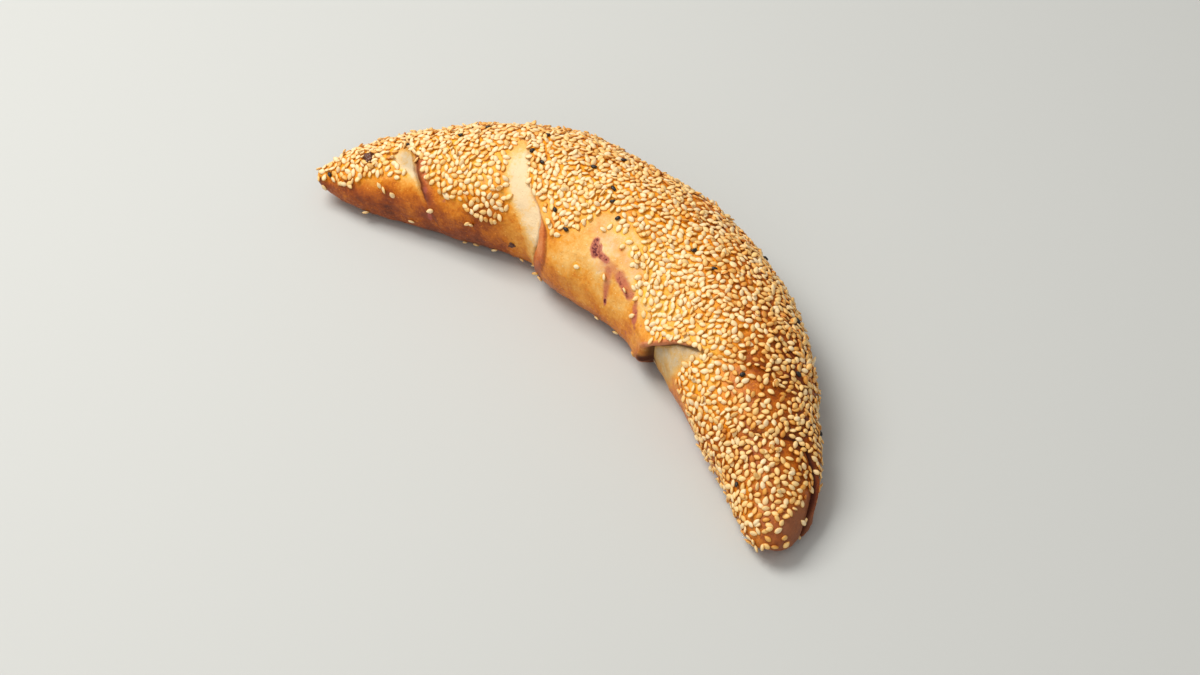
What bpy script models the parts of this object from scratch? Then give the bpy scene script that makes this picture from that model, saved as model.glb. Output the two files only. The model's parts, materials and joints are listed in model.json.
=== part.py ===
"""Olive pie: a crescent roll of dough in overlapping wraps, crusted with sesame seeds.

The roll follows an arc in plan. A place on it is given by two numbers: its station,
which is the distance along the arc from the middle of the pie, and its angle round the
roll, where 0 faces the outside of the curve, 90 is the top and 180 faces the inside.
Metres, +Z up, resting on z = 0, the tips towards -Y and the sharper, lifted tip at -X.
"""
import math
import random
from collections import namedtuple

import bmesh
import bpy
from mathutils import Matrix, Vector
from mathutils.bvhtree import BVHTree

MM = 0.001

# Driving dimensions of the roll: the arc it follows, its two ends and its section
SPINE_RADIUS = 175 * MM
SPINE_CREST = 17.7 * MM
SPINE_SHIFT = -4.3 * MM
LEFT_TIP = -155 * MM
RIGHT_TIP = 160 * MM
LEFT_NOSE = 12 * MM
RIGHT_NOSE = 24 * MM
TIP_LIFT = 6.5 * MM
LIFT_START = -100 * MM
LIFT_LENGTH = 55 * MM
CROWN_HEIGHT = 0.80
BELLY_HEIGHT = 0.66
BELLY_DEPTH = 1.10
FLANK_POWER = 3.0
FLAT_ANGLE = 61
UNDERCUT_ANGLE = 24
THIN_END = 10 * MM

# Half width of the roll, and how far its middle wanders out from the arc: (station, size) in mm
GIRTH = (
    (-150, 7.2), (-134, 14.5), (-95, 24.4), (-68, 28.3), (0, 31.8),
    (30, 30.0), (78, 27.2), (115, 20.8), (146, 13.0),
)
WANDER = (
    (-150, -3.0), (-130, -4.0), (-72, -0.5), (-46, 2.6), (-18, -0.5),
    (30, 2.5), (100, -1.0), (125, 1.0), (146, 2.4),
)

# Edges of the wraps. course: (angle, station in mm). height: (angle, step in mm).
# side: +1 where the wrap on top lies towards the right tip, -1 towards the left.
# roundness: length of the step for its height. fade: how far the wrap stays proud, in mm.
# groove: depth of the crease at its foot, in mm. bare: the strip without seeds, in mm.
Edge = namedtuple("Edge", "course height side roundness fade groove bare")
LEFT_END_EDGE = Edge(
    course=(
        (-60, -128), (0, -124), (60, -117), (78, -115), (94, -112), (109, -109.3), (124, -107.2),
        (140, -104.7), (154, -102.1), (166, -99.3), (179, -96.6), (200, -91), (240, -84),
    ),
    height=((-60, 0.4), (60, 0.6), (240, 0.8)),
    side=1, roundness=2.0, fade=25, groove=0.9, bare=(-7, 0),
)
MIDDLE_LEFT_EDGE = Edge(
    course=(
        (-60, -86), (0, -80), (66, -69), (90, -60.5), (101, -58.1), (115, -55.3), (124, -53),
        (130, -49.6), (136, -45.8), (143, -39.6), (148, -37.5), (156, -36.6), (168, -35.3),
        (180, -36.1), (200, -38.2), (240, -40),
    ),
    height=((-60, 1.0), (96, 1.0), (124, 1.8), (150, 3.6), (180, 4.6), (205, 3.6), (240, 2.0)),
    side=1, roundness=2.2, fade=45, groove=0.4, bare=(-10, 3),
)
MIDDLE_RIGHT_EDGE = Edge(
    course=((-60, 104), (60, 97), (100, 90), (119, 83.5), (147, 66.5), (164, 57.5), (181, 50.5), (240, 42)),
    height=((-60, 0.6), (60, 0.7), (100, 1.0), (131, 1.8), (150, 3.0), (180, 5.0), (205, 6.0), (240, 5.0)),
    side=-1, roundness=0.5, fade=40, groove=0.4, bare=(-3, 12),
)
RIGHT_END_EDGE = Edge(
    course=((-60, 150), (0, 147), (9, 137.5), (30, 128), (60, 122), (96, 121), (126, 120.5), (240, 121)),
    height=((-60, 1.2), (30, 1.0), (110, 0.7), (135, 0.3), (240, 0.3)),
    side=-1, roundness=1.0, fade=20, groove=1.0, bare=(0, 0),
)
EDGES = (LEFT_END_EDGE, MIDDLE_LEFT_EDGE, MIDDLE_RIGHT_EDGE, RIGHT_END_EDGE)
# The right end's crease runs out between these angles
CREASE_ENDS = (108, 124)
SHORTEST_STEP = 0.6 * MM
GROOVE_WIDTH = 1.0 * MM

# How finely the roll is divided: sectors round it, and rings from each edge to the next
SECTORS = 30
SPAN_RINGS = (9, 8, 19, 7, 9)
STEP_PARTS = (0.0, 0.35, 1.0)

# Sesame seeds: size, number and how they lie
SEED_SIZE = Vector((3.4, 2.2, 1.05)) * MM
SEED_VARIATION = 0.08
SEED_COUNT = 130
SEED_SPACING = 9 * MM
SEED_TILT = 0.12
SINK = 0.3
SEED_SECTORS = 6
RANDOM_SEED = 7

# Where the seeds lie: from an angle low on the outside over the top to a border, (station in mm, angle)
SEED_OUTER_ANGLE = -25
SEED_INNER_ANGLE = 205
SEED_BORDER = (
    (-150, 136), (-138, 136), (-130, 122), (-110, 124), (-96, 138), (-85, 150), (-68, 164), (-60, 156),
    (-47, 124), (-33, 132), (-24, 142), (-8, 112), (7, 118), (19, 128), (34, 138), (52, 158), (66, 146),
    (77, 138), (82, 166), (99, 174), (112, 192), (150, 200),
)
BARE_TIP = 6 * MM
BARE_STRIP_ANGLE = 75

# The chip of olive on the left tip: place (station, angle) and size
CHIP_PLACE = (-131.4 * MM, 97)
CHIP_SIZE = Vector((5.4, 3.8, 2.4)) * MM

DOUGH_COLOR = (0.62, 0.30, 0.085, 1)
SEED_COLOR = (0.80, 0.58, 0.30, 1)
OLIVE_COLOR = (0.05, 0.015, 0.01, 1)


def clear_scene():
    for obj in list(bpy.data.objects):
        bpy.data.objects.remove(obj, do_unlink=True)


def plain_material(name, color, roughness):
    material = bpy.data.materials.new(name)
    material.use_nodes = True
    material.diffuse_color = color
    shader = material.node_tree.nodes["Principled BSDF"]
    shader.inputs["Base Color"].default_value = color
    shader.inputs["Roughness"].default_value = roughness
    shader.inputs["Metallic"].default_value = 0.0
    return material


def smooth_through(knots, place):
    """Value at place on a smooth curve through (place, value) knots, flat past both ends."""
    place = min(max(place, knots[0][0]), knots[-1][0])
    last = len(knots) - 1
    k = max(i for i in range(last) if knots[i][0] <= place)

    def slope(i):
        before = knots[max(i - 1, 0)]
        after = knots[min(i + 1, last)]
        return (after[1] - before[1]) / (after[0] - before[0])

    gap = knots[k + 1][0] - knots[k][0]
    t = (place - knots[k][0]) / gap
    start = (1 + 2 * t) * (1 - t) ** 2 * knots[k][1] + t * (1 - t) ** 2 * gap * slope(k)
    end = t * t * (3 - 2 * t) * knots[k + 1][1] + t * t * (t - 1) * gap * slope(k + 1)
    return start + end


def quarter_round(distance, length):
    """0 at an end, rising to 1 as a quarter circle does over the length."""
    t = min(max(distance / length, 0.0), 1.0)
    return math.sqrt(1 - (1 - t) ** 2)


def full_width(station):
    """Half width of the roll before its ends are rounded off."""
    return smooth_through(GIRTH, station / MM) * MM


def half_width(station):
    ends = quarter_round(station - LEFT_TIP, LEFT_NOSE) * quarter_round(RIGHT_TIP - station, RIGHT_NOSE)
    return full_width(station) * ends


def lift(station):
    """The left end curls up a little off the surface."""
    t = min(max((LIFT_START - station) / LIFT_LENGTH, 0.0), 1.0)
    return TIP_LIFT * t * t


def edge_station(edge, angle):
    return smooth_through(edge.course, angle) * MM


def step_height(edge, angle):
    return smooth_through(edge.height, angle) * MM


def step_length(edge, angle):
    return edge.roundness * step_height(edge, angle) + SHORTEST_STEP


def groove_depth(edge, angle):
    """The crease at a wrap's foot; the right end's fades out on the inside of the roll."""
    depth = edge.groove * MM
    if edge is RIGHT_END_EDGE:
        start, end = CREASE_ENDS
        t = min(max((angle - start) / (end - start), 0.0), 1.0)
        depth *= 1 - t * t * (3 - 2 * t)
    return depth


def edge_rise(station, angle):
    """How far the wraps stand out over, or sink in beside, the plain roll."""
    rise = 0.0
    for edge in EDGES:
        inside = edge.side * (station - edge_station(edge, angle))
        length = step_length(edge, angle)
        fade = math.exp(-max(inside - length, 0.0) / (edge.fade * MM))
        rise += step_height(edge, angle) * quarter_round(inside, length) * fade
        rise -= groove_depth(edge, angle) * math.exp(-(inside / GROOVE_WIDTH) ** 2)
    return rise


def surface_point(station, angle):
    """A point of the dough's skin: an oval crown on a flatter belly, cut off flat below."""
    width = half_width(station)
    across = math.cos(math.radians(angle))
    up = math.sin(math.radians(angle))
    below = max(-angle, angle - 180, 0)
    rise = edge_rise(station, angle) * quarter_round(FLAT_ANGLE - below, UNDERCUT_ANGLE)
    rise *= min(width / THIN_END, 1.0)
    if up >= 0:
        side = (width + rise) * across
        height = (CROWN_HEIGHT * width + rise) * up
    else:
        side = width * math.copysign(abs(across) ** (2 / FLANK_POWER), across)
        side += math.copysign(rise, across)
        height = -BELLY_HEIGHT * width * min(BELLY_DEPTH * abs(up) ** (2 / FLANK_POWER), 1.0)
    turn = station / SPINE_RADIUS
    radius = SPINE_RADIUS + smooth_through(WANDER, station / MM) * MM + side
    x = radius * math.sin(turn) + SPINE_SHIFT
    y = radius * math.cos(turn) - SPINE_RADIUS + SPINE_CREST
    z = BELLY_HEIGHT * full_width(station) + height + lift(station)
    return Vector((x, y, z))


def ring_stations(angle):
    """Stations of all the rings at one angle, gathered close at each wrap's edge."""
    bands = []
    for edge in EDGES:
        foot = edge_station(edge, angle)
        length = step_length(edge, angle)
        steps = [-GROOVE_WIDTH] + [part * length for part in STEP_PARTS]
        bands.append(sorted(foot + edge.side * step for step in steps))
    starts = [LEFT_TIP] + [band[-1] for band in bands]
    ends = [band[0] for band in bands] + [RIGHT_TIP]
    stations = []
    for k, rings in enumerate(SPAN_RINGS):
        for i in range(1, rings):
            t = i / rings
            if k == 0:
                t = 1 - math.cos(t * math.pi / 2)
            if k == len(SPAN_RINGS) - 1:
                t = math.sin(t * math.pi / 2)
            stations.append(starts[k] + t * (ends[k] - starts[k]))
        if k < len(bands):
            stations.extend(bands[k])
    return stations


def mesh_object(name, bm, material):
    bmesh.ops.recalc_face_normals(bm, faces=bm.faces)
    mesh = bpy.data.meshes.new(name)
    bm.to_mesh(mesh)
    bm.free()
    mesh.materials.append(material)
    obj = bpy.data.objects.new(name, mesh)
    bpy.context.scene.collection.objects.link(obj)
    return obj


def join_rings(bm, rings, poles):
    """Faces from each closed ring of vertices to the next, and fans to a pole at both ends."""
    count = len(rings[0])
    for j in range(count):
        k = (j + 1) % count
        for ring, after in zip(rings, rings[1:]):
            bm.faces.new((ring[j], ring[k], after[k], after[j]))
        bm.faces.new((rings[0][j], rings[0][k], poles[0]))
        bm.faces.new((rings[-1][j], rings[-1][k], poles[1]))


def build_dough(material):
    """The roll: rings of skin points, each closed below by a flat chord."""
    sweep = 180 + 2 * FLAT_ANGLE
    angles = [sweep * j / SECTORS - FLAT_ANGLE for j in range(SECTORS + 1)]
    columns = [[surface_point(station, angle) for station in ring_stations(angle)] for angle in angles]
    bm = bmesh.new()
    rings = [[bm.verts.new(point) for point in ring] for ring in zip(*columns)]
    poles = [bm.verts.new(surface_point(tip, 90)) for tip in (LEFT_TIP, RIGHT_TIP)]
    join_rings(bm, rings, poles)
    return mesh_object("olive_pie", bm, material)


def build_seed(name, size, material, taper=0.55):
    """A flat teardrop: three rings between two poles, the last ring narrowed by the taper."""
    half_length, half_width_, half_height = size / 2
    bm = bmesh.new()
    rings = []
    for place, girth in ((-0.62, 0.80), (0.0, 1.0), (0.60, taper)):
        ring = []
        for i in range(SEED_SECTORS):
            turn = math.tau * i / SEED_SECTORS
            y = half_width_ * girth * math.cos(turn)
            z = half_height * girth * math.sin(turn)
            ring.append(bm.verts.new((place * half_length, y, z)))
        rings.append(ring)
    poles = [bm.verts.new((end * half_length, 0, 0)) for end in (-1, 1)]
    join_rings(bm, rings, poles)
    return mesh_object(name, bm, material)


def lay_on_skin(obj, skin, place, thickness, turn, tilt=0.0):
    """Lay a piece on the faceted skin, turned about its normal and sunk by part of its thickness."""
    point, normal = skin.find_nearest(surface_point(*place))[:2]
    ahead = surface_point(place[0] + MM, place[1]) - surface_point(*place)
    side = normal.cross(ahead).normalized()
    along = side.cross(normal)
    basis = Matrix((along, side, normal)).transposed().to_4x4()
    spin = Matrix.Rotation(turn, 4, "Z") @ Matrix.Rotation(tilt, 4, "Y")
    centre = point + normal * thickness * (0.5 - SINK)
    obj.matrix_world = Matrix.Translation(centre) @ basis @ spin


def is_seeded(station, angle):
    """Seeds cover the roll down to a border, but for the bare strips beside the edges."""
    if angle > smooth_through(SEED_BORDER, station / MM):
        return False
    for edge in EDGES:
        past = station - edge_station(edge, angle)
        if abs(past) < SEED_SIZE.x:
            return False
        if angle > BARE_STRIP_ANGLE and edge.bare[0] * MM < past < edge.bare[1] * MM:
            return False
    return True


def seed_places(rng):
    """Even but irregular places: random ones, each kept clear of those before it."""
    widest = max(size for _, size in GIRTH) * MM
    places = []
    points = []
    while len(places) < SEED_COUNT:
        station = rng.uniform(LEFT_TIP + BARE_TIP, RIGHT_TIP - BARE_TIP)
        angle = rng.uniform(SEED_OUTER_ANGLE, SEED_INNER_ANGLE)
        if rng.random() > half_width(station) / widest or not is_seeded(station, angle):
            continue
        point = surface_point(station, angle)
        if any((point - other).length < SEED_SPACING for other in points):
            continue
        places.append((station, angle))
        points.append(point)
    return places


def build_toppings(pie, seed_material, chip_material):
    """Sesame seeds, and the chip of olive that shows on the left tip."""
    rng = random.Random(RANDOM_SEED)
    skin = BVHTree.FromObject(pie, bpy.context.evaluated_depsgraph_get())
    toppings = []
    for i, place in enumerate(seed_places(rng)):
        size = SEED_SIZE * rng.uniform(1 - SEED_VARIATION, 1 + SEED_VARIATION)
        seed = build_seed(f"seed_{i}", size, seed_material)
        lay_on_skin(seed, skin, place, size.z, rng.uniform(0, math.tau), rng.uniform(-SEED_TILT, SEED_TILT))
        toppings.append(seed)
    chip = build_seed("olive_chip", CHIP_SIZE, chip_material, taper=0.75)
    lay_on_skin(chip, skin, CHIP_PLACE, CHIP_SIZE.z, math.pi / 2)
    toppings.append(chip)
    return toppings


def fuse(body, pieces):
    """One union of the body with all the pieces, which are then removed."""
    group = bpy.data.collections.new("toppings")
    bpy.context.scene.collection.children.link(group)
    for piece in pieces:
        bpy.context.scene.collection.objects.unlink(piece)
        group.objects.link(piece)
    union = body.modifiers.new("union", "BOOLEAN")
    union.operation = "UNION"
    union.operand_type = "COLLECTION"
    union.collection = group
    union.solver = "EXACT"
    union.material_mode = "TRANSFER"
    graph = bpy.context.evaluated_depsgraph_get()
    fused = bpy.data.meshes.new_from_object(body.evaluated_get(graph))
    body.modifiers.clear()
    body.data = fused
    for piece in pieces:
        bpy.data.objects.remove(piece, do_unlink=True)
    bpy.data.collections.remove(group)


def main():
    clear_scene()
    dough = plain_material("baked_dough", DOUGH_COLOR, 0.5)
    sesame = plain_material("sesame", SEED_COLOR, 0.45)
    olive = plain_material("olive", OLIVE_COLOR, 0.4)
    pie = build_dough(dough)
    fuse(pie, build_toppings(pie, sesame, olive))
    pie.data.shade_smooth()
    pie.data.set_sharp_from_angle(angle=math.radians(40))


main()
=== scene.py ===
# %% [markdown]
# # An olive pie: the looks
# The pie is a crescent of rolled dough, brushed with egg, crusted with sesame and baked.
# Its frame is a plain solid made elsewhere. This script loads that frame, builds the real
# skin of the dough over the same form, lays over three thousand sesame seeds, and bakes
# both in procedural materials. Blender's lengths are metres, and so are the distances of
# the camera and the lights. The pie's own sizes are named in millimetres, and MM turns
# them into metres. +Z is up.

import json
import math
from collections import namedtuple

import bpy
import numpy as np
from mathutils import Euler, Matrix, Vector
from mathutils.bvhtree import BVHTree
from mathutils.kdtree import KDTree

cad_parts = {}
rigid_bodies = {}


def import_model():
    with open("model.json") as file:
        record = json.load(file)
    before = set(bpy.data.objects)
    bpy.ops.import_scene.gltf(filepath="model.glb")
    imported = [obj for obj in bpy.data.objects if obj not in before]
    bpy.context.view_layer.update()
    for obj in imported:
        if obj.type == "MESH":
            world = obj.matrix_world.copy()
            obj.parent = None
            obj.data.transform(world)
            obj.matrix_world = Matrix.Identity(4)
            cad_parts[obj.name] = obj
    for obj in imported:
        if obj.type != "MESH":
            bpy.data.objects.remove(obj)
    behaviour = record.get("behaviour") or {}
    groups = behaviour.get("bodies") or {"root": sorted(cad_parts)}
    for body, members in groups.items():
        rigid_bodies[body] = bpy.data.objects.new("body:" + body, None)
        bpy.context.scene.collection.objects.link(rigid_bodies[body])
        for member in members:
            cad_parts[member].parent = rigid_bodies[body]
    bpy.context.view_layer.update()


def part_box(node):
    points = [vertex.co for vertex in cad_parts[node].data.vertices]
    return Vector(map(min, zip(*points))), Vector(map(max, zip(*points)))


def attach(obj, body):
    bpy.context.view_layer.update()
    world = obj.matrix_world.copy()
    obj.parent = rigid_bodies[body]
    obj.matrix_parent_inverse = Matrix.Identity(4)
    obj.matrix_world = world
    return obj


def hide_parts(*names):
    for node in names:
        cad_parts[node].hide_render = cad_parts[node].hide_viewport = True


for leftover in list(bpy.data.objects):
    bpy.data.objects.remove(leftover, do_unlink=True)
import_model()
pie_low, pie_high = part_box("olive_pie")
MM = 0.001
print("frame: the pie is", [round((b - a) / MM, 1) for a, b in zip(pie_low, pie_high)], "mm")

# %% [markdown]
# ## The camera
# A picture is matched from its own point of view first, so the camera comes before the
# looks. It looks down at about 46 degrees from the inside of the crescent's right half.
# It is placed by a bearing, an elevation and a distance from the point it aims at, which
# are easier to read than a location and a rotation. The lights are placed that way too.

# %% The camera at the photograph's angle
CAMERA_BEARING = -42.221
CAMERA_ELEVATION = 45.715
CAMERA_DISTANCE = 1.0297
CAMERA_AIM = Vector((0.02091, -0.02958, 0.02))
CAMERA_LENS = 78.0
CAMERA_SENSOR = 36.0


def new_object(name, data):
    """An object that shows a mesh, a camera or a light, linked to the scene."""
    obj = bpy.data.objects.new(name, data)
    bpy.context.scene.collection.objects.link(obj)
    return obj


def stand_off(obj, aim, bearing, elevation, distance):
    """Put an object at a distance from a point, facing it. Bearing 0 is +X and 90 is +Y."""
    turn, rise = math.radians(bearing), math.radians(elevation)
    away = Vector((math.cos(turn) * math.cos(rise), math.sin(turn) * math.cos(rise), math.sin(rise)))
    obj.location = aim + away * distance
    obj.rotation_euler = (-away).to_track_quat("-Z", "Y").to_euler()


camera_data = bpy.data.cameras.new("camera")
camera_data.lens = CAMERA_LENS
camera_data.sensor_width = CAMERA_SENSOR
camera = new_object("camera", camera_data)
stand_off(camera, CAMERA_AIM, CAMERA_BEARING, CAMERA_ELEVATION, CAMERA_DISTANCE)
bpy.context.scene.camera = camera
print("camera at", [round(x, 3) for x in camera.location])

# %% [markdown]
# ## The form of the roll
# A place on the roll has two numbers: its station, the distance in millimetres along an
# arc from the middle of the pie, and its angle round the roll, where 0 faces the outside
# of the curve, 90 is the top and 180 faces the inside. The frame's solid was drawn by
# the same rule, so a skin made with these numbers lies on it, to a millimetre or two. The
# functions take whole arrays of places, because the skin has tens of thousands.

# %% Sizes of the roll
# The spine is an arc, and its crest and shift put the pie's middle over the origin
SPINE_RADIUS = 175.0
SPINE_CREST = 17.7
SPINE_SHIFT = -4.3
LEFT_TIP = -155.0
RIGHT_TIP = 160.0
LEFT_NOSE = 12.0
RIGHT_NOSE = 24.0
TIP_LIFT = 6.5
LIFT_START = -100.0
LIFT_LENGTH = 55.0
# The cross-section: heights as shares of the half width, how square the flanks are, and
# how many degrees below the sides the flat base starts
CROWN_HEIGHT = 0.8
BELLY_HEIGHT = 0.66
BELLY_DEPTH = 1.1
FLANK_POWER = 3.0
FLAT_ANGLE = 61.0
# The wraps' edges die out over this angle above the base, and below this half width
UNDERCUT_ANGLE = 24.0
THIN_END = 10.0
# (station, half width), and (station, how far the spine strays outwards)
GIRTH = (
    (-150, 7.2), (-134, 14.5), (-95, 24.4), (-68, 28.3), (0, 31.8),
    (30, 30.0), (78, 27.2), (115, 20.8), (146, 13.0),
)
WANDER = (
    (-150, -3.0), (-130, -4.0), (-72, -0.5), (-46, 2.6), (-18, -0.5),
    (30, 2.5), (100, -1.0), (125, 1.0), (146, 2.4),
)

# %% The edges of the wraps
# course: (angle, station). height: (angle, step). groove: (angle, depth of the crease at
# its foot). rim: (angle, how far the skin below curls up just before it). side: +1 where
# the wrap on top lies towards the right tip. roundness: length of the step for its
# height. fade: how far the wrap stays proud. waver: how uneven the edge's line is.
Edge = namedtuple("Edge", "course height groove rim side roundness fade waver")
LEFT_END_EDGE = Edge(
    course=(
        (-60, -128), (0, -124), (60, -117), (78, -115), (94, -112), (109, -109.3), (124, -107.2),
        (140, -104.7), (154, -102.1), (166, -99.3), (179, -96.6), (200, -91), (240, -84),
    ),
    height=((-60, 0.4), (60, 0.6), (240, 0.8)),
    groove=((-60, 0.9), (138, 0.9), (156, 0.35), (240, 0.15)),
    rim=((-60, 0.2), (80, 0.5), (144, 0.5), (160, 0.1), (240, 0)),
    side=1, roundness=2.0, fade=25, waver=0.7,
)
MIDDLE_LEFT_EDGE = Edge(
    course=(
        (-60, -86), (0, -80), (66, -69), (90, -60.6), (101, -57.6), (115, -54), (124, -51.2),
        (130, -48.3), (136, -45.2), (143, -39.6), (148, -37.5), (156, -36.6), (168, -35.3), (180, -36.1),
        (200, -38.2), (240, -40),
    ),
    height=((-60, 1.0), (96, 1.0), (124, 1.8), (150, 3.6), (180, 4.6), (205, 3.6), (240, 2.0)),
    groove=((-60, 0.4), (240, 0.4)), rim=((-60, 0.15), (240, 0.15)),
    side=1, roundness=2.2, fade=45, waver=1.0,
)
MIDDLE_RIGHT_EDGE = Edge(
    course=(
        (-60, 104), (60, 97), (100, 90), (119, 84), (134, 75.4), (149, 66.4), (165, 58.6), (181, 51),
        (240, 42),
    ),
    height=((-60, 0.6), (60, 0.7), (100, 1.0), (131, 1.8), (150, 3.0), (180, 5.0), (205, 6.0), (240, 5.0)),
    groove=((-60, 0.4), (134, 0.4), (144, 0.15), (172, 0.15), (184, 0.5), (240, 0.5)),
    rim=((-60, 0), (240, 0)),
    side=-1, roundness=0.5, fade=40, waver=0.5,
)
RIGHT_END_EDGE = Edge(
    course=((-60, 150), (0, 147), (9, 137.5), (30, 128), (60, 122), (96, 121), (126, 120.5), (240, 121)),
    height=((-60, 1.2), (-25, 1.8), (5, 2.3), (30, 1.4), (60, 0.8), (110, 0.7), (135, 0.3), (240, 0.3)),
    groove=((-60, 0.9), (70, 0.85), (100, 0.7), (122, 0), (240, 0)), rim=((-60, 0), (240, 0)),
    side=-1, roundness=1.0, fade=20, waver=0.9,
)
EDGES = (LEFT_END_EDGE, MIDDLE_LEFT_EDGE, MIDDLE_RIGHT_EDGE, RIGHT_END_EDGE)
SHORTEST_STEP = 0.6
GROOVE_WIDTH = 1.0
RIM_WIDTH = 0.9
VALLEY_DEPTH = 0.5
VALLEY_WIDTH = 1.2
# The waver of an edge: (waves in a whole turn, share, times the edge's own phase)
WAVERS = ((7, 1.0, 1), (17, 0.6, 2), (31, 0.4, 3))
# Width in mm of the rolled side that shows along the middle wrap's left edge, by angle
ROLLED_WIDTH = (
    (134, 0.01), (145, 2.2), (148, 3.6), (152, 7.2), (160, 9.6), (169, 10.2), (180, 11), (200, 9), (210, 6),
)


# %% The rule of the form
def smooth_through(knots, place):
    """Values at an array of places on a smooth curve through (place, value) knots."""
    x, y = np.array(knots, float).T
    place = np.clip(place, x[0], x[-1])
    slope = np.zeros_like(y)
    slope[1:-1] = (y[2:] - y[:-2]) / (x[2:] - x[:-2])
    slope[0] = (y[1] - y[0]) / (x[1] - x[0])
    slope[-1] = (y[-1] - y[-2]) / (x[-1] - x[-2])
    k = np.clip(np.searchsorted(x, place, side="right") - 1, 0, len(x) - 2)
    gap = x[k + 1] - x[k]
    t = (place - x[k]) / gap
    start = (1 + 2 * t) * (1 - t) ** 2 * y[k] + t * (1 - t) ** 2 * gap * slope[k]
    end = t * t * (3 - 2 * t) * y[k + 1] + t * t * (t - 1) * gap * slope[k + 1]
    return start + end


def quarter_round(distance, length):
    """0 at an end, rising to 1 as a quarter circle does over the length."""
    t = np.clip(distance / length, 0, 1)
    return np.sqrt(1 - (1 - t) ** 2)


def soft_step(value, start, end):
    """0 before start, 1 past end, and smooth between."""
    t = np.clip((value - start) / (end - start), 0, 1)
    return t * t * (3 - 2 * t)


def window(value, start, full, fall, end):
    """0 before start, 1 from full to fall, 0 past end, and smooth between."""
    return soft_step(value, start, full) * soft_step(value, end, fall)


def half_width(station):
    """Half the roll's width in mm, rounded off at both tips."""
    ends = quarter_round(station - LEFT_TIP, LEFT_NOSE) * quarter_round(RIGHT_TIP - station, RIGHT_NOSE)
    return smooth_through(GIRTH, station) * ends


def step_height(edge, angle):
    """How far in mm a wrap's edge stands over the wrap below."""
    return smooth_through(edge.height, angle)


def step_length(edge, angle):
    """Over how many mm the edge rises to its height."""
    return edge.roundness * step_height(edge, angle) + SHORTEST_STEP


def edge_station(edge, angle):
    """The edge's station at an angle, with the small wavering of a torn or stretched edge."""
    turn = np.radians(angle)
    phase = edge.course[2][1]
    waver = sum(share * np.sin(waves * turn + times * phase) for waves, share, times in WAVERS)
    return smooth_through(edge.course, angle) + edge.waver * waver / len(WAVERS)


def past_edge(edge, station, angle):
    """Distance from the edge into the wrap that lies on top."""
    return edge.side * (station - edge_station(edge, angle))


def valley(station, angle):
    """1 along the shallow valley where the rolled side meets the top of the middle wrap."""
    inside = past_edge(MIDDLE_LEFT_EDGE, station, angle) - smooth_through(ROLLED_WIDTH, angle)
    return np.exp(-(inside / VALLEY_WIDTH) ** 2) * window(angle, 143, 150, 168, 190)


def edge_rise(station, angle):
    """How far the wraps stand out over, or sink in beside, the plain roll."""
    rise = -VALLEY_DEPTH * valley(station, angle)
    for edge in EDGES:
        inside = past_edge(edge, station, angle)
        length = step_length(edge, angle)
        fade = np.exp(-np.maximum(inside - length, 0) / edge.fade)
        rise = rise + step_height(edge, angle) * quarter_round(inside, length) * fade
        rise = rise - smooth_through(edge.groove, angle) * np.exp(-(inside / GROOVE_WIDTH) ** 2)
        rise = rise + smooth_through(edge.rim, angle) * np.exp(-((inside + 2 * RIM_WIDTH) / RIM_WIDTH) ** 2)
    return rise


def skin_point(station, angle):
    """Points of the dough's skin, in metres: an oval crown on a flatter belly."""
    width = half_width(station)
    across = np.cos(np.radians(angle))
    up = np.sin(np.radians(angle))
    below = np.maximum(np.maximum(-angle, angle - 180), 0)
    rise = edge_rise(station, angle) * quarter_round(FLAT_ANGLE - below, UNDERCUT_ANGLE)
    rise = rise * np.minimum(width / THIN_END, 1)
    flank = np.abs(up) ** (2 / FLANK_POWER)
    above = up >= 0
    squarer = np.abs(across) ** (2 / FLANK_POWER)
    low_side = np.sign(across) * (width * squarer + rise)
    side = np.where(above, (width + rise) * across, low_side)
    height = np.where(above, (CROWN_HEIGHT * width + rise) * up,
                      -BELLY_HEIGHT * width * np.minimum(BELLY_DEPTH * flank, 1))
    turn = station / SPINE_RADIUS
    radius = SPINE_RADIUS + smooth_through(WANDER, station) + side
    lift = TIP_LIFT * np.clip((LIFT_START - station) / LIFT_LENGTH, 0, 1) ** 2
    x = radius * np.sin(turn) + SPINE_SHIFT
    y = radius * np.cos(turn) - SPINE_RADIUS + SPINE_CREST
    z = BELLY_HEIGHT * smooth_through(GIRTH, station) + height + lift
    return np.stack((x, y, z), axis=-1) * MM


middle_top = skin_point(np.array([0.0]), np.array([90.0]))[0] / MM
print("the crown at the middle is", round(float(middle_top[2]), 1), "mm high")

# %% [markdown]
# ## Laying out the skin
# The skin is a sheet of rings from tip to tip. The rings lean with the wraps' edges and
# crowd together there, so each edge gets a crisp step without spending faces on the
# plain dough between. The sheet closes below with a flat base, where the pie lay on its
# baking tray. Each point remembers its station and angle, as the toppings and the
# browning are placed by them.

# %% Rings that follow the edges
SPAN_RINGS = (50, 52, 128, 46, 50)
STEP_PARTS = (0.0, 0.06, 0.14, 0.25, 0.38, 0.52, 0.68, 0.84, 1.0)
FOOT_PARTS = (-3.0, -2.4, -1.8, -1.2, -0.8, -0.4)
SKIN_COLUMNS = 204
BASE_COLUMNS = 26


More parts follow.
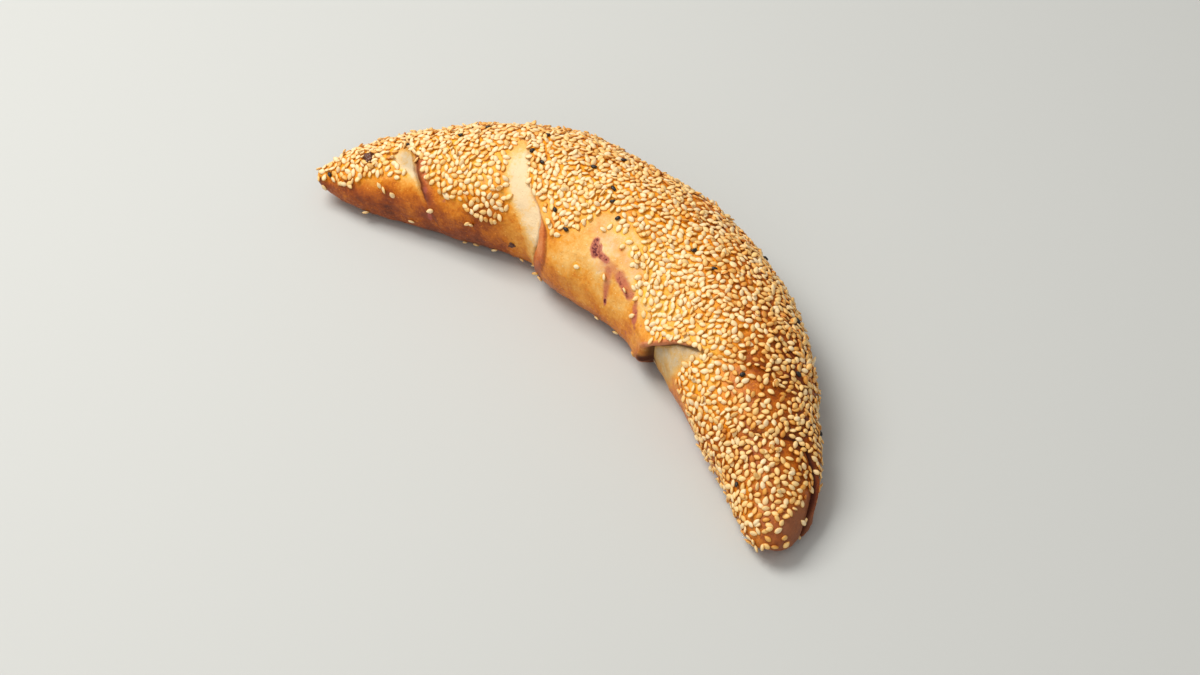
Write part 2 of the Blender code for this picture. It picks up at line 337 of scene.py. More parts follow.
def ring_stations(angle):
    """Stations of all the rings at an array of angles: one row for each ring."""
    bands = []
    for edge in EDGES:
        foot = edge_station(edge, angle)
        length = step_length(edge, angle)
        offsets = [part + 0 * length for part in FOOT_PARTS] + [part * length for part in STEP_PARTS]
        band = [foot + edge.side * offset for offset in offsets]
        bands.append(band if edge.side > 0 else band[::-1])
    starts = [LEFT_TIP + 0 * angle] + [band[-1] for band in bands]
    ends = [band[0] for band in bands] + [RIGHT_TIP + 0 * angle]
    rows = []
    for k, rings in enumerate(SPAN_RINGS):
        for i in range(1, rings):
            t = i / rings
            if k == 0:
                t = 1 - math.cos(t * math.pi / 2)
            if k == len(SPAN_RINGS) - 1:
                t = math.sin(t * math.pi / 2)
            rows.append(starts[k] + t * (ends[k] - starts[k]))
        if k < len(bands):
            rows.extend(bands[k])
    return np.array(rows)


angles = np.linspace(-FLAT_ANGLE, 180 + FLAT_ANGLE, SKIN_COLUMNS)
stations = ring_stations(angles)
angle_grid = np.broadcast_to(angles, stations.shape)
skin = skin_point(stations, angle_grid)
print("skin:", skin.shape[0], "rings of", skin.shape[1], "points")

# %% Close the rings below and the ends with poles
share = np.linspace(0, 1, BASE_COLUMNS + 2)[1:-1]
base = skin[:, -1:, :] + share[None, :, None] * (skin[:, :1, :] - skin[:, -1:, :])
base_station = stations[:, -1:] + share[None, :] * (stations[:, :1] - stations[:, -1:])
base_angle = np.broadcast_to(180 + FLAT_ANGLE + share * (180 - 2 * FLAT_ANGLE), base_station.shape)
ring_points = np.concatenate((skin, base), axis=1)
ring_count, column_count = ring_points.shape[:2]
poles = skin_point(np.array([LEFT_TIP, RIGHT_TIP]), np.array([90.0, 90.0]))
points = np.concatenate((ring_points.reshape(-1, 3), poles))
point_station = np.append(np.concatenate((stations, base_station), axis=1), (LEFT_TIP, RIGHT_TIP))
point_angle = np.append(np.concatenate((angle_grid, base_angle), axis=1), (90.0, 90.0))


def ring_faces():
    """Quads from ring to ring, and a fan of triangles to the pole at each end."""
    index = np.arange(ring_count * column_count).reshape(ring_count, column_count)
    around = np.roll(index, -1, axis=1)
    quads = np.stack((index[:-1], around[:-1], around[1:], index[1:]), axis=-1).reshape(-1, 4)
    left_pole = ring_count * column_count
    first = [(left_pole, b, a) for a, b in zip(index[0], around[0])]
    last = [(left_pole + 1, a, b) for a, b in zip(index[-1], around[-1])]
    return [tuple(map(int, face)) for face in [*quads, *first, *last]]


dough_mesh = bpy.data.meshes.new("dough")
dough_mesh.from_pydata(points.tolist(), [], ring_faces())
dough = new_object("dough", dough_mesh)
MILLILITRE = 1e-6


def vertex_places(mesh):
    """Where a mesh's points are, as rows of x, y and z."""
    flat = np.zeros(len(mesh.vertices) * 3, np.float32)
    mesh.vertices.foreach_get("co", flat)
    return flat.reshape(-1, 3).astype(float)


def volume(mesh):
    """Millilitres inside a closed mesh, above 0 where its faces point outwards."""
    mesh.calc_loop_triangles()
    corners = np.zeros(len(mesh.loop_triangles) * 3, np.int32)
    mesh.loop_triangles.foreach_get("vertices", corners)
    a, b, c = vertex_places(mesh)[corners.reshape(-1, 3)].transpose(1, 0, 2)
    return float(np.einsum("ij,ij->i", a, np.cross(b, c)).sum() / 6) / MILLILITRE


if volume(dough_mesh) < 0:
    dough_mesh.flip_normals()
print("dough:", len(dough_mesh.polygons), "faces,", round(volume(dough_mesh)), "ml")

# %% [markdown]
# ## Where the dough is bare, pale, brown or stained
# A baked roll isn't one colour. The skin that another wrap covered while it rose stays
# pale as cream, thin rolled edges turn pink and red where olive juice soaks in, flanks
# far from the tray's heat stay golden, and whatever stands up browns. These differences
# are worked out here as masks, one number from about 0 to 1 at each point, from places
# and distances on the roll. The material then turns them into colour.
# Some masks also paint light and shade: shade in the creases, in the tuck past the left end's edge and on the
# pale strips, and light on the middle wrap's pink lip.


# %% Helpers for masks
def near(station, angle, place, reach, turn=0.0):
    """1 at a place (station, angle), fading to 0 over a reach (mm, degrees)."""
    along = (station - place[0]) / reach[0]
    around = (angle - place[1]) / reach[1]
    a = along * math.cos(turn) + around * math.sin(turn)
    b = around * math.cos(turn) - along * math.sin(turn)
    return np.exp(-(a * a + b * b))


def spots(station, angle, places):
    """The sum of soft spots, each (station, angle, reach along, reach round, strength)."""
    total = 0.0
    for s, a, along, around, strength in places:
        total = total + strength * near(station, angle, (s, a), (along, around))
    return total


def between(station, angle, left, right, blur):
    """1 between two lines of (angle, station) knots, and 0 outside, over a soft blur in mm."""
    from_left = station - smooth_through(left, angle)
    from_right = smooth_through(right, angle) - station
    return soft_step(from_left, -blur, blur) * soft_step(from_right, -blur, blur)


def line_of(edge, shift=0.0):
    """An edge's course as a border of a strip."""
    return tuple((angle, station + shift) for angle, station in edge.course)


# %% Pale strips beside the edges
# Each strip lies between its outer border and the edge of the wrap that covered it.
LEFT_STRIP = (
    ((60, -118), (79, -120), (98, -120.2), (107, -120), (117, -118), (124, -114), (130, -109.8),
     (136, -107), (154, -103.8), (166, -100.8), (180, -97.2)),
    line_of(LEFT_END_EDGE, -0.3),
)
MIDDLE_STRIP = (
    ((60, -74), (80, -69.5), (92, -68), (108, -67), (116, -65), (125, -63.5), (132, -61.5),
     (145, -56.5), (160, -50.5), (170, -46.8), (185, -44), (200, -42.5)),
    line_of(MIDDLE_LEFT_EDGE, 0.3),
)
RIGHT_STRIP = (
    line_of(MIDDLE_RIGHT_EDGE),
    ((100, 90), (118, 85), (131, 80), (147, 77.5), (160, 76), (175, 73), (188, 70), (240, 62)),
)
# How far each strip is baked, by angle
PALE_BAKE = (
    ((60, 0.45), (86, 0.42), (94, 0.28), (101, 0.13), (108, 0.05), (126, 0), (150, 0.14), (170, 0.3)),
    ((60, 0.26), (95, 0.12), (115, 0.05), (132, 0.02), (160, 0.05), (180, 0.2), (200, 0.35)),
    ((100, 0.12), (140, 0.06), (170, 0.08), (190, 0.3)),
)


def strip_masks(station, angle):
    """How much each of the three pale strips shows at each place."""
    left = between(station, angle, *LEFT_STRIP, blur=2.2) * window(angle, 72, 92, 158, 176)
    middle = between(station, angle, *MIDDLE_STRIP, blur=0.5) * soft_step(angle, 35, 75)
    middle = middle * soft_step(station - smooth_through(MIDDLE_STRIP[0], angle), -3.5, 5.0)
    right = between(station, angle, *RIGHT_STRIP, blur=3.6) * soft_step(angle, 112, 126)
    above_base = soft_step(angle, 230, 200)
    return left, middle * above_base, right * above_base


# %% Browning
# (station, angle, reach along, reach round, how brown): the skin takes the nearest ones' mean
BROWNED_PLACES = (
    (-148, 165, 10, 25, 0.8), (-130, 172, 14, 16, 0.8), (-110, 172, 12, 16, 0.74), (-126, 142, 12, 9, 0.55),
    (-112, 131, 6, 6, 0.22), (-95, 176, 12, 12, 0.76), (-76, 174, 12, 10, 0.72), (-100, 152, 10, 10, 0.56),
    (-82, 152, 10, 10, 0.56), (-84, 166, 10, 8, 0.64), (-118, 205, 28, 18, 0.9), (-82, 198, 18, 14, 0.9),
    (-60, 192, 10, 14, 0.62), (-48, 190, 6, 20, 0.4), (-140, 100, 18, 30, 0.3), (-95, 100, 22, 30, 0.32),
    (-90, 128, 18, 12, 0.26), (-54, 101, 3, 7, 0.52), (-44, 125, 6, 8, 0.32), (-30, 158, 8, 14, 0.42),
    (-20, 165, 12, 12, 0.33), (-4, 156, 10, 9, 0.17), (-6, 143, 7, 5, 0.27), (5, 128, 11, 7, -0.03),
    (24, 137, 7, 5, 0.05), (12, 165, 12, 14, 0.24), (22, 140, 10, 8, 0.14), (0, 180, 25, 8, 0.44),
    (-18, 185, 8, 8, 0.6), (0, 190, 25, 8, 0.58), (5, 208, 25, 12, 0.66), (33, 185, 8, 14, 0.49),
    (46, 174, 6, 8, 0.52), (45, 205, 6, 8, 0.8), (28, 165, 8, 12, 0.36), (-30, 95, 28, 28, 0.3),
    (25, 112, 28, 16, 0.28), (40, 146, 8, 8, 0.12), (55, 135, 16, 16, 0.2), (62, 112, 18, 16, 0.36),
    (55, 75, 28, 22, 0.6), (0, 52, 40, 18, 0.66), (-70, 48, 40, 18, 0.62), (80, 58, 22, 22, 0.9),
    (84, 184, 12, 10, 0.62), (85, 165, 12, 10, 0.38), (100, 178, 14, 14, 0.62), (95, 128, 16, 16, 0.34),
    (105, 60, 20, 22, 0.86), (112, 95, 14, 20, 0.7), (135, 120, 16, 26, 0.7), (135, 170, 18, 20, 0.62),
    (132, 80, 14, 24, 0.74), (152, 55, 8, 26, 0.6), (150, 20, 10, 18, 0.8), (134, 8, 12, 16, 0.82),
    (139, 31, 4, 7, 0.34), (60, 0, 60, 25, 0.8), (-60, 0, 60, 25, 0.72), (0, 270, 160, 26, 0.68),
    (120, -30, 50, 22, 0.8), (-120, -30, 50, 22, 0.74),
)
# A place's browning carries on past its reach by this much
BROWN_SPREAD = 1.6
# Width in mm of the bare pink lip along the middle wrap's right edge, by angle
LIP_WIDTH = ((120, 0.3), (132, 1.6), (136, 3), (142, 4), (148, 3.4), (157, 3), (180, 4.2), (240, 4.5))
# How far the lip is baked: pale for its thin pink dough, and paler still as painted light on a face the
# window light barely reaches
LIP_BAKE_WITH_PAINTED_LIGHT = 0.3


def lip(station, angle):
    """1 on the pink lip of the middle wrap's right edge."""
    inside = past_edge(MIDDLE_RIGHT_EDGE, station, angle)
    width = smooth_through(LIP_WIDTH, angle)
    return window(inside, -0.1, 0.4, width - 0.5, width + 0.5) * window(angle, 120, 130, 172, 186)


def rolled_side(station, angle):
    """1 on the rolled side that shows along the middle wrap's left edge."""
    inside = past_edge(MIDDLE_LEFT_EDGE, station, angle)
    width = smooth_through(ROLLED_WIDTH, angle)
    blur = 1 + 3 * soft_step(angle, 162, 184)
    shown = window(inside, -0.4, 0.4, width - 0.9 * blur, width + 0.4 * blur)
    return shown * soft_step(angle, 236, 206)


def browning(station, angle):
    """Weighted mean of the places above, pulled to pale on the strips."""
    total = 0.0
    weight = 0.0
    for s, a, along, around, how_brown in BROWNED_PLACES:
        closeness = near(station, angle, (s, a), (BROWN_SPREAD * along, BROWN_SPREAD * around)) + 1e-6
        total = total + closeness * how_brown
        weight = weight + closeness
    brown = total / weight
    for pale, strip in zip(PALE_BAKE, strip_masks(station, angle)):
        brown = brown + (smooth_through(pale, angle) - brown) * strip
    # Painted shade: browner in the tuck just past the left end's edge, and along the valley beside the rolled
    # side
    inside = past_edge(LEFT_END_EDGE, station, angle)
    tucked_shade = window(inside, -0.2, 0.5, 1.5, 5.0) * window(angle, 100, 114, 154, 166)
    across = past_edge(MIDDLE_LEFT_EDGE, station, angle) / smooth_through(ROLLED_WIDTH, angle)
    rolled = 0.02 + 0.2 * soft_step(across, 0.55, 1.0) + 0.22 * soft_step(angle, 168, 192)
    brown = brown + rolled * rolled_side(station, angle) + 0.12 * valley(station, angle) + 0.24 * tucked_shade
    # Painted light in part: the lip is pulled to the pale bake above
    return brown + (LIP_BAKE_WITH_PAINTED_LIGHT - brown) * 0.8 * lip(station, angle)


# %% Blush, stains and painted crease shade
# Blush is the pink to red of thin or juice-soaked dough; stains are the juice itself, in
# dabs and runs from one (station, angle) to another, with their half width in mm and strength.
STAINS = (
    ((-2.2, 138), (-1.6, 141.5), 1.5, 0.95), ((-1, 143), (1.3, 146.5), 1.8, 1),
    ((1, 139.5), (2.2, 142), 0.9, 0.8), ((2, 145), (8.2, 146.3), 1.35, 0.85),
    ((7, 147.5), (19, 150), 2.1, 0.32), ((17.8, 150.4), (28.2, 156.4), 2.6, 0.5),
    ((18, 153), (27.4, 159.4), 0.9, 0.78), ((11.6, 152), (13.6, 160), 2.3, 0.42),
    ((13.4, 160), (15.2, 170), 2, 0.42), ((15, 168), (15.9, 176), 1.3, 0.5),
    ((15.9, 176), (16.2, 178.5), 0.8, 1.1), ((33.2, 157), (34.3, 162), 1.6, 0.45),
    ((35.6, 164), (37.4, 169.5), 1.9, 0.62), ((37.6, 170), (39.6, 174), 1.1, 0.4),
    ((32.9, 184), (33.2, 187), 0.4, 0.5), ((41, 177.5), (41.4, 179), 0.4, 0.45),
    # The runs near station -101, in the crevice past the left end's edge, are partly juice and partly painted
    # shade
    ((-101.8, 135), (-101.3, 144), 1, 0.15), ((-101.2, 145.5), (-100.9, 149), 1, 0.55),
    ((-100.6, 151), (-99.6, 158), 0.8, 0.2), ((-90.5, 156.5), (-90.3, 158.5), 0.7, 0.6),
    ((-72, 129), (-72, 133), 1.2, 0.3), ((-98, 180), (-97.6, 182.5), 1.2, 0.5),
    ((9.3, 131.5), (10, 133), 0.9, 0.45), ((43, 166.5), (43, 167.5), 0.4, 0.6),
    ((-22, 143), (-22, 144), 0.6, 0.5),
)
MM_PER_DEGREE = 0.52
# Soft spots: (station, angle, reach along, reach round, strength)
BLUSHED_PLACES = (
    (-136, 162, 14, 18, 0.6), (-114, 168, 12, 14, 0.55), (-98, 176, 8, 14, 0.5), (-106, 118, 2.6, 10, 0.8),
    (9, 152, 6, 7, 0.4), (-6, 122, 8, 8, 0.25), (24, 140, 9, 6, 0.2), (58, 140, 8, 9, 0.24),
    (152, 50, 9, 40, 0.95), (140, 30, 5, 9, 0.5), (134, 95, 16, 34, 0.38), (88, 52, 12, 14, 0.45),
    (-153, 190, 4, 30, 0.7), (100, 48, 12, 16, 0.45), (96, 115, 12, 14, 0.3), (24, 138, 12, 6, 0.2),
    (-53, 101, 2.5, 7, 0.4), (-43, 131, 3, 5, 0.6), (8, 133, 10, 7, 0.25), (-4, 132, 7, 6, 0.2),
)
DULL_PLACES = ((-154, 140, 2, 40, 0.6), (152, 50, 9, 30, 0.5), (100, 48, 12, 14, 0.3))
SCORCHED_PLACES = ((-154.5, 165, 2, 30, 0.6),)
# For each edge, the painted shade of the crease at its foot: (its width in mm by angle), (its strength by
# angle), shift in mm
CREASE_SHADES = (
    (((-60, 1), (90, 0.9), (150, 1.5), (240, 1)),
     ((-60, 0.2), (66, 0.35), (100, 0.6), (142, 0.8), (154, 0.45), (168, 0.2)), 0.7),
    (((-60, 0.8), (240, 0.9)),
     ((-60, 0), (84, 0.1), (100, 0.35), (124, 0.2), (150, 0.5), (240, 0.7)), 0),
    (((-60, 0.5), (130, 0.5), (150, 0.4), (172, 0.45), (186, 1.1), (240, 1.2)),
     ((-60, 0), (122, 0), (136, 0.8), (150, 0.9), (240, 1)), 0),
    (((-10, 1.2), (20, 1.3), (45, 1.1), (60, 0.8), (90, 0.7), (112, 0.6)),
     ((-60, 1), (50, 1), (66, 0.8), (92, 0.55), (106, 0.35), (122, 0)), 0),
)
# The bare side of the right tip lies below this (station, angle)
TONGUE_BORDER = (
    (124, 14), (136, 20), (140, 26), (143, 35), (146, 46), (149, 58), (152, 68), (155, 62), (158, 30),
    (160, 5),
)


def blush(station, angle):
    """Pink or red dough: the rolled side of the middle wrap, its right lip, and the two tips."""
    inside = past_edge(LEFT_END_EDGE, station, angle)
    left_edge = window(inside, -0.3, 0.4, 2.5, 7.5) * window(angle, 95, 110, 158, 172)
    mask = 0.85 * rolled_side(station, angle) + lip(station, angle) + 1.1 * left_edge
    return np.clip(mask + spots(station, angle, BLUSHED_PLACES), 0, 1)


def stains(station, angle):
    """1 in the middle of a dab or run of juice, fading out past its half width."""
    mask = 0.0
    for (s0, a0), (s1, a1), half, strength in STAINS:
        along, around = s1 - s0, (a1 - a0) * MM_PER_DEGREE
        from_start = station - s0, (angle - a0) * MM_PER_DEGREE
        share = np.clip((from_start[0] * along + from_start[1] * around) / (along**2 + around**2), 0, 1)
        gap = np.hypot(from_start[0] - share * along, from_start[1] - share * around)
        mask = np.maximum(mask, strength * soft_step(gap, 1.7 * half, 0.3 * half))
    return mask


def crease_shades(station, angle):
    """Painted shade: the dark line at the foot of each wrap's edge, along the valley, in the hollow under the
    middle wrap and along its fold.
    """
    mask = 0.45 * valley(station, angle)
    for edge, (width, strength, shift) in zip(EDGES, CREASE_SHADES):
        inside = past_edge(edge, station, angle) - shift
        line = np.exp(-(inside / smooth_through(width, angle)) ** 2)
        mask = np.maximum(mask, np.clip(smooth_through(strength, angle), 0, 1) * line)
    hollow = near(station, angle, (48.5, 197), (3.6, 8))
    fold = near(station, angle, (41.5, 174), (6.0, 1.6), turn=0.85)
    above_base = 1 - 0.95 * soft_step(angle, 212, 238)
    return np.clip(np.maximum(mask, np.maximum(1.7 * hollow, 0.22 * fold)) * above_base, 0, 1)


def ash_and_shade(station, angle):
    """Dull, greyish dough that was covered and never browned; on the left and right pale strips, partly
    painted shade.
    """
    left, middle, right = strip_masks(station, angle)
    # Painted shade in part: the left strip darkens away from its outer border, and the whole right strip,
    # beside the middle wrap's step, is dulled
    from_border = station - smooth_through(LEFT_STRIP[0], angle)
    left = 1.05 * left * soft_step(from_border, 0, 6) * soft_step(angle, 146, 112)
    return np.clip(left + 0.03 * middle + right + spots(station, angle, DULL_PLACES), 0, 1)


def scorch(station, angle):
    """Greyish-brown matte dough: the bare side of the right tip, and both tips' ends."""
    bare = soft_step(smooth_through(TONGUE_BORDER, station) - angle, -8, 4) * soft_step(station, 134, 146)
    right = np.maximum(bare * soft_step(angle, -40, -15), 0.35 * soft_step(station, 142, 156))
    return np.clip(right + spots(station, angle, SCORCHED_PLACES), 0, 1)


MASKS = {
    "bake": browning, "blush": blush, "stain": stains, "crease_shade": crease_shades, "ash_and_shade": ash_and_shade, "scorch": scorch,
}
masks = {name: rule(point_station, point_angle) for name, rule in MASKS.items()}
for name, values in masks.items():
    print("mask", name, "from", round(float(values.min()), 2), "to", round(float(values.max()), 2))

# %% [markdown]
# ## Where sesame lies
# The top of the roll was pressed into sesame before baking, so seeds cover it down to a
# wandering border on the inner flank, thin out low on the outer one, and are missing
# from the strips that were covered by dough. The blister relief uses the same border:
# bare dough shows its bubbles.

# %% The seeded area
SEED_BORDER = (
    (-153, 150), (-149, 142), (-146, 137), (-143, 145), (-137, 141), (-134, 134), (-130, 124),
    (-124, 126), (-120, 130), (-114, 128), (-110, 123), (-107, 114), (-104, 117), (-101, 131),
    (-97, 141), (-90, 150), (-85, 155), (-80, 153), (-75, 161), (-70, 170), (-65, 171), (-60, 163),
    (-56, 150), (-50, 136), (-45, 130), (-41, 134), (-38, 136), (-33, 137), (-29, 143), (-26, 150),
    (-22, 146), (-17, 140), (-13.5, 134), (-11.5, 122), (-8, 113), (-4, 117), (0, 121), (7, 121),
    (11, 127), (15, 128), (19, 133), (26, 139), (34, 144), (41, 154), (47, 161), (52, 164), (57, 166),
    (66, 150), (77, 140), (79, 163), (82, 174), (88, 174), (94, 176), (99, 182), (104, 194), (112, 204),
    (122, 212), (152, 215),
)
OUTER_BORDER = (
    (-155, -22), (-128, -30), (-100, -20), (-74, -27), (-50, -18), (-22, -26), (6, -21), (30, -30),
    (58, -22), (84, -29), (112, -20), (140, -26), (160, -24),
)
# Inside these borders the seeds thin out: (station, angle, reach along, reach round, how much)
SPARSE_PLACES = (
    (0, 113, 12, 8, 0.55), (-16, 126, 8, 8, 0.35), (14, 120, 10, 7, 0.45), (-112, 116, 5, 12, 0.6),
    (-73, 131, 3.5, 6, 0.75), (28, 130, 8, 6, 0.3), (-88, 149, 7, 5, 0.35), (-88, 8, 7, 9, 0.7),
    (18, -4, 9, 8, 0.7), (66, 12, 6, 7, 0.5), (-30, 2, 6, 8, 0.5), (118, 2, 7, 9, 0.6), (-128, 10, 6, 8, 0.5),
)
# How pale a strip is before seeds thin out on it, for the three strips
STRIP_STARTS = (0.35, 0.2, 0.2)
# For each edge, and again for the last one: bare width in mm below it and above, and how much
# of that shows by angle
EDGE_GAPS = (
    (0.5, 0.7, ((-60, 0), (66, 0), (84, 1), (240, 1))),
    (0.4, 0.2, ((-60, 0), (110, 0), (126, 1), (240, 1))),
    (1.2, 0.9, ((-60, 0), (122, 0), (134, 1), (240, 1))),
    (0.5, 0.4, ((-60, 1), (78, 1), (92, 0), (240, 0))),
    (1.5, 1.1, ((-60, 1), (36, 1), (52, 0), (240, 0))),
)
OUTER_LAYER = 14.0


def seeded(station, angle):
    """How thickly seeds lie at each place, from 0 to 1."""
    ragged = 2.4 * np.sin(station / 2.1) + 2.0 * np.sin(station / 0.83 + 1)
    border = smooth_through(SEED_BORDER, station) + 2.0 + ragged
    past_outer = angle - smooth_through(OUTER_BORDER, station)
    cover = soft_step(border - angle, -4, 8) * soft_step(past_outer, -12, 10)
    for s, a, along, around, less in SPARSE_PLACES:
        cover = cover * (1 - less * near(station, angle, (s, a), (along, around)))
    for strip, start in zip(strip_masks(station, angle), STRIP_STARTS):
        cover = cover * (1 - soft_step(strip, start, start + 0.5))
    for edge, (low, high, shown) in zip((*EDGES, RIGHT_END_EDGE), EDGE_GAPS):
        inside = past_edge(edge, station, angle)
        bare = window(inside, -low - 0.2, -low + 0.1, high - 0.1, high + 0.2)
        cover = cover * (1 - bare * np.clip(smooth_through(shown, angle), 0, 1))
    inside = past_edge(RIGHT_END_EDGE, station, angle)
    tongue = soft_step(smooth_through(TONGUE_BORDER, station) - angle, -2, 2) * (station > 124)
    cover = cover * (1 - tongue * (inside < 0))
    outer_layer = window(angle, -50, -40, 34, 44) * soft_step(station, 130, 134)
    cover = cover * (1 - outer_layer * (inside > 0) * (inside < OUTER_LAYER))
    cover = cover * np.where(angle > 134, 1 - soft_step(rolled_side(station, angle), 0.1, 0.4), 1)
    cover = cover * (1 - soft_step(lip(station, angle), 0.02, 0.2))
    return cover * window(station, LEFT_TIP + 0.3, LEFT_TIP + 1.2, RIGHT_TIP - 0.08, RIGHT_TIP)


cover = seeded(point_station, point_angle)
print("seeds cover", round(float(cover.mean()) * 100), "% of the skin's points")

# %% Write the masks on the skin
below = np.maximum(np.maximum(-point_angle, point_angle - 180), 0)
off_base = soft_step(below, FLAT_ANGLE - 2, FLAT_ANGLE - 22)
masks["blistered"] = off_base * (1 - 0.65 * cover)
masks["lumpy"] = off_base


def write_mask(mesh, name, values):
    """Store one number for each of the mesh's points under a name."""
    mesh.attributes.new(name, "FLOAT", "POINT").data.foreach_set("value", np.asarray(values, np.float32))


for name, values in masks.items():
    write_mask(dough_mesh, name, values)

# %% [markdown]
# ## Baked relief
# Steam lifts the skin in low swellings and small blisters, and no hand-rolled dough is
# smooth. Displacing points along their normals by noise suits this, and a Geometry Nodes
# tree keeps its few sizes as inputs that can be changed later. The masks on the points
# say where the relief may be. The base stays flat, so the pie still rests as the frame
# does.


# %% Helpers for node trees
NUMBER = "NodeSocketFloat"


def add(tree, kind, sockets=None, **settings):
    """A new node with its settings and its inputs, each a value or another node's output."""
    node = tree.nodes.new(kind)
    for name, value in settings.items():
        setattr(node, name, value)
    for name, value in (sockets or {}).items():
        if isinstance(value, bpy.types.NodeSocket):
            tree.links.new(value, node.inputs[name])
        else:
            node.inputs[name].default_value = value
    return node


def maths(tree, operation, first, second=0.0, third=0.0, clamp=False):
    """One Math node's answer, such as first * second for MULTIPLY."""
    sockets = {0: first, 1: second, 2: third}
    return add(tree, "ShaderNodeMath", sockets, operation=operation, use_clamp=clamp).outputs[0]


def remap(tree, value, low, high, to_low=0.0, to_high=1.0):
    """A value's smooth way from to_low at low to to_high at high."""
    sockets = {0: value, 1: low, 2: high, 3: to_low, 4: to_high}
    return add(tree, "ShaderNodeMapRange", sockets, interpolation_type="SMOOTHSTEP").outputs[0]


def geometry_tree(name, inputs):
    """An empty Geometry Nodes tree with named inputs: (name, socket type, value)."""
    tree = bpy.data.node_groups.new(name, "GeometryNodeTree")
    tree.interface.new_socket("Geometry", in_out="INPUT", socket_type="NodeSocketGeometry")
    tree.interface.new_socket("Geometry", in_out="OUTPUT", socket_type="NodeSocketGeometry")
    for label, kind, value in inputs:
        socket = tree.interface.new_socket(label, in_out="INPUT", socket_type=kind)
        if value is not None:
            socket.default_value = value
    return tree, tree.nodes.new("NodeGroupInput"), tree.nodes.new("NodeGroupOutput")


def stored(tree, name, kind="FLOAT"):
    """What is stored on the points under a name."""
    return add(tree, "GeometryNodeInputNamedAttribute", {"Name": name}, data_type=kind).outputs["Attribute"]


def run_tree(obj, tree, values):
    """Put the tree on an object with its inputs set, and keep the result as a plain mesh."""
    modifier = obj.modifiers.new(tree.name, "NODES")
    modifier.node_group = tree
    sockets = {item.name: item.identifier for item in tree.interface.items_tree if item.in_out == "INPUT"}
    for name, value in values.items():
        modifier[sockets[name]] = value
    graph = bpy.context.evaluated_depsgraph_get()
    made = bpy.data.meshes.new_from_object(obj.evaluated_get(graph))
    made.name = obj.name
    obj.modifiers.remove(modifier)
    obj.data = made
    return made


# %% The relief tree
# Heights and sizes of the bumps, and the fixed draw of the noise
RELIEF = {
    "Swelling height": 0.9 * MM, "Swelling size": 17 * MM,
    "Lump height": 0.45 * MM, "Lump size": 6.5 * MM,
    "Blister height": 0.36 * MM, "Blister size": 2.8 * MM,
    "Wrinkle height": 0.34 * MM, "Wrinkle size": 2 * MM,
    "Draw": 4.0,
}


def relief_tree():
    """Moves each point along its normal by swellings and lumps, and by wrinkles and blisters."""
    inputs = [(label, NUMBER, value) for label, value in RELIEF.items()]
    tree, given, result = geometry_tree("baked_relief", inputs)
    place = add(tree, "GeometryNodeInputPosition").outputs[0]
    normal = add(tree, "GeometryNodeInputNormal").outputs[0]

    def waves(kind, detail):
        """Noise about 0, as high and as wide as the inputs of that kind say."""
        scale = maths(tree, "DIVIDE", 1.0, given.outputs[kind + " size"])
        noise = add(tree, "ShaderNodeTexNoise", {
            "Vector": place, "W": given.outputs["Draw"], "Scale": scale, "Detail": detail, "Roughness": 0.5,
        }, noise_dimensions="4D").outputs[0]
        return maths(tree, "MULTIPLY", maths(tree, "SUBTRACT", noise, 0.5), given.outputs[kind + " height"])

    swelling = maths(tree, "ADD", waves("Swelling", 1.0), waves("Lump", 1.0))
    swelling = maths(tree, "MULTIPLY", swelling, stored(tree, "lumpy"))
    wrinkle = waves("Wrinkle", 2.0)
    cells = add(tree, "ShaderNodeTexVoronoi", {
        "Vector": place, "Scale": maths(tree, "DIVIDE", 1.0, given.outputs["Blister size"]),
    }, voronoi_dimensions="3D", feature="F1")
    dome = remap(tree, cells.outputs["Distance"], 0.52, 0.0)
    some = remap(tree, add(tree, "ShaderNodeSeparateXYZ", {0: cells.outputs["Color"]}).outputs[0], 0.45, 1.0)
    blister = maths(tree, "MULTIPLY", maths(tree, "MULTIPLY", dome, some), given.outputs["Blister height"])
    fine = maths(tree, "MULTIPLY", maths(tree, "ADD", wrinkle, blister), stored(tree, "blistered"))
    total = maths(tree, "ADD", maths(tree, "MULTIPLY", swelling, 2.0), fine)
    offset = add(tree, "ShaderNodeVectorMath", {0: normal, "Scale": total}, operation="SCALE").outputs[0]
    moved = add(tree, "GeometryNodeSetPosition", {"Geometry": given.outputs["Geometry"], "Offset": offset})
    tree.links.new(moved.outputs[0], result.inputs[0])
    return tree


dough_mesh = run_tree(dough, relief_tree(), RELIEF)
print("relief: the dough now holds", round(volume(dough_mesh)), "ml")

# %% [markdown]
# ## Spreading the sesame
# Seeds thrown at random would cross each other, and a regular pattern would look
# printed. So places are drawn at random by how thickly the area is seeded, and then the
# seeds push each other apart for a few dozen rounds, turning as they do, like seeds in a
# tray that is shaken. Each seed counts as three discs in a row, which is close enough to
# its teardrop. The black seeds are laid first and don't move.

# %% Sizes of the seeds
SEED_LENGTH = 3.4
SEED_WIDTH = 2.2
SEED_THICKNESS = 1.05
SEEDS_PER_AREA = 0.134
# How much thicker seeds lie, and how much larger they are, along the stations
CROWDING = (
    (-155, 1.12), (-70, 1.12), (-30, 1.06), (20, 1), (70, 0.97), (105, 1.02), (135, 1.14), (160, 1.2),
)
GROWTH = ((-155, 1.06), (60, 1.06), (105, 1), (160, 1.01))
# A seed's three discs: (place along it by its length, radius by its width)
DISCS = ((-0.22, 0.45), (0.04, 0.47), (0.32, 0.3))

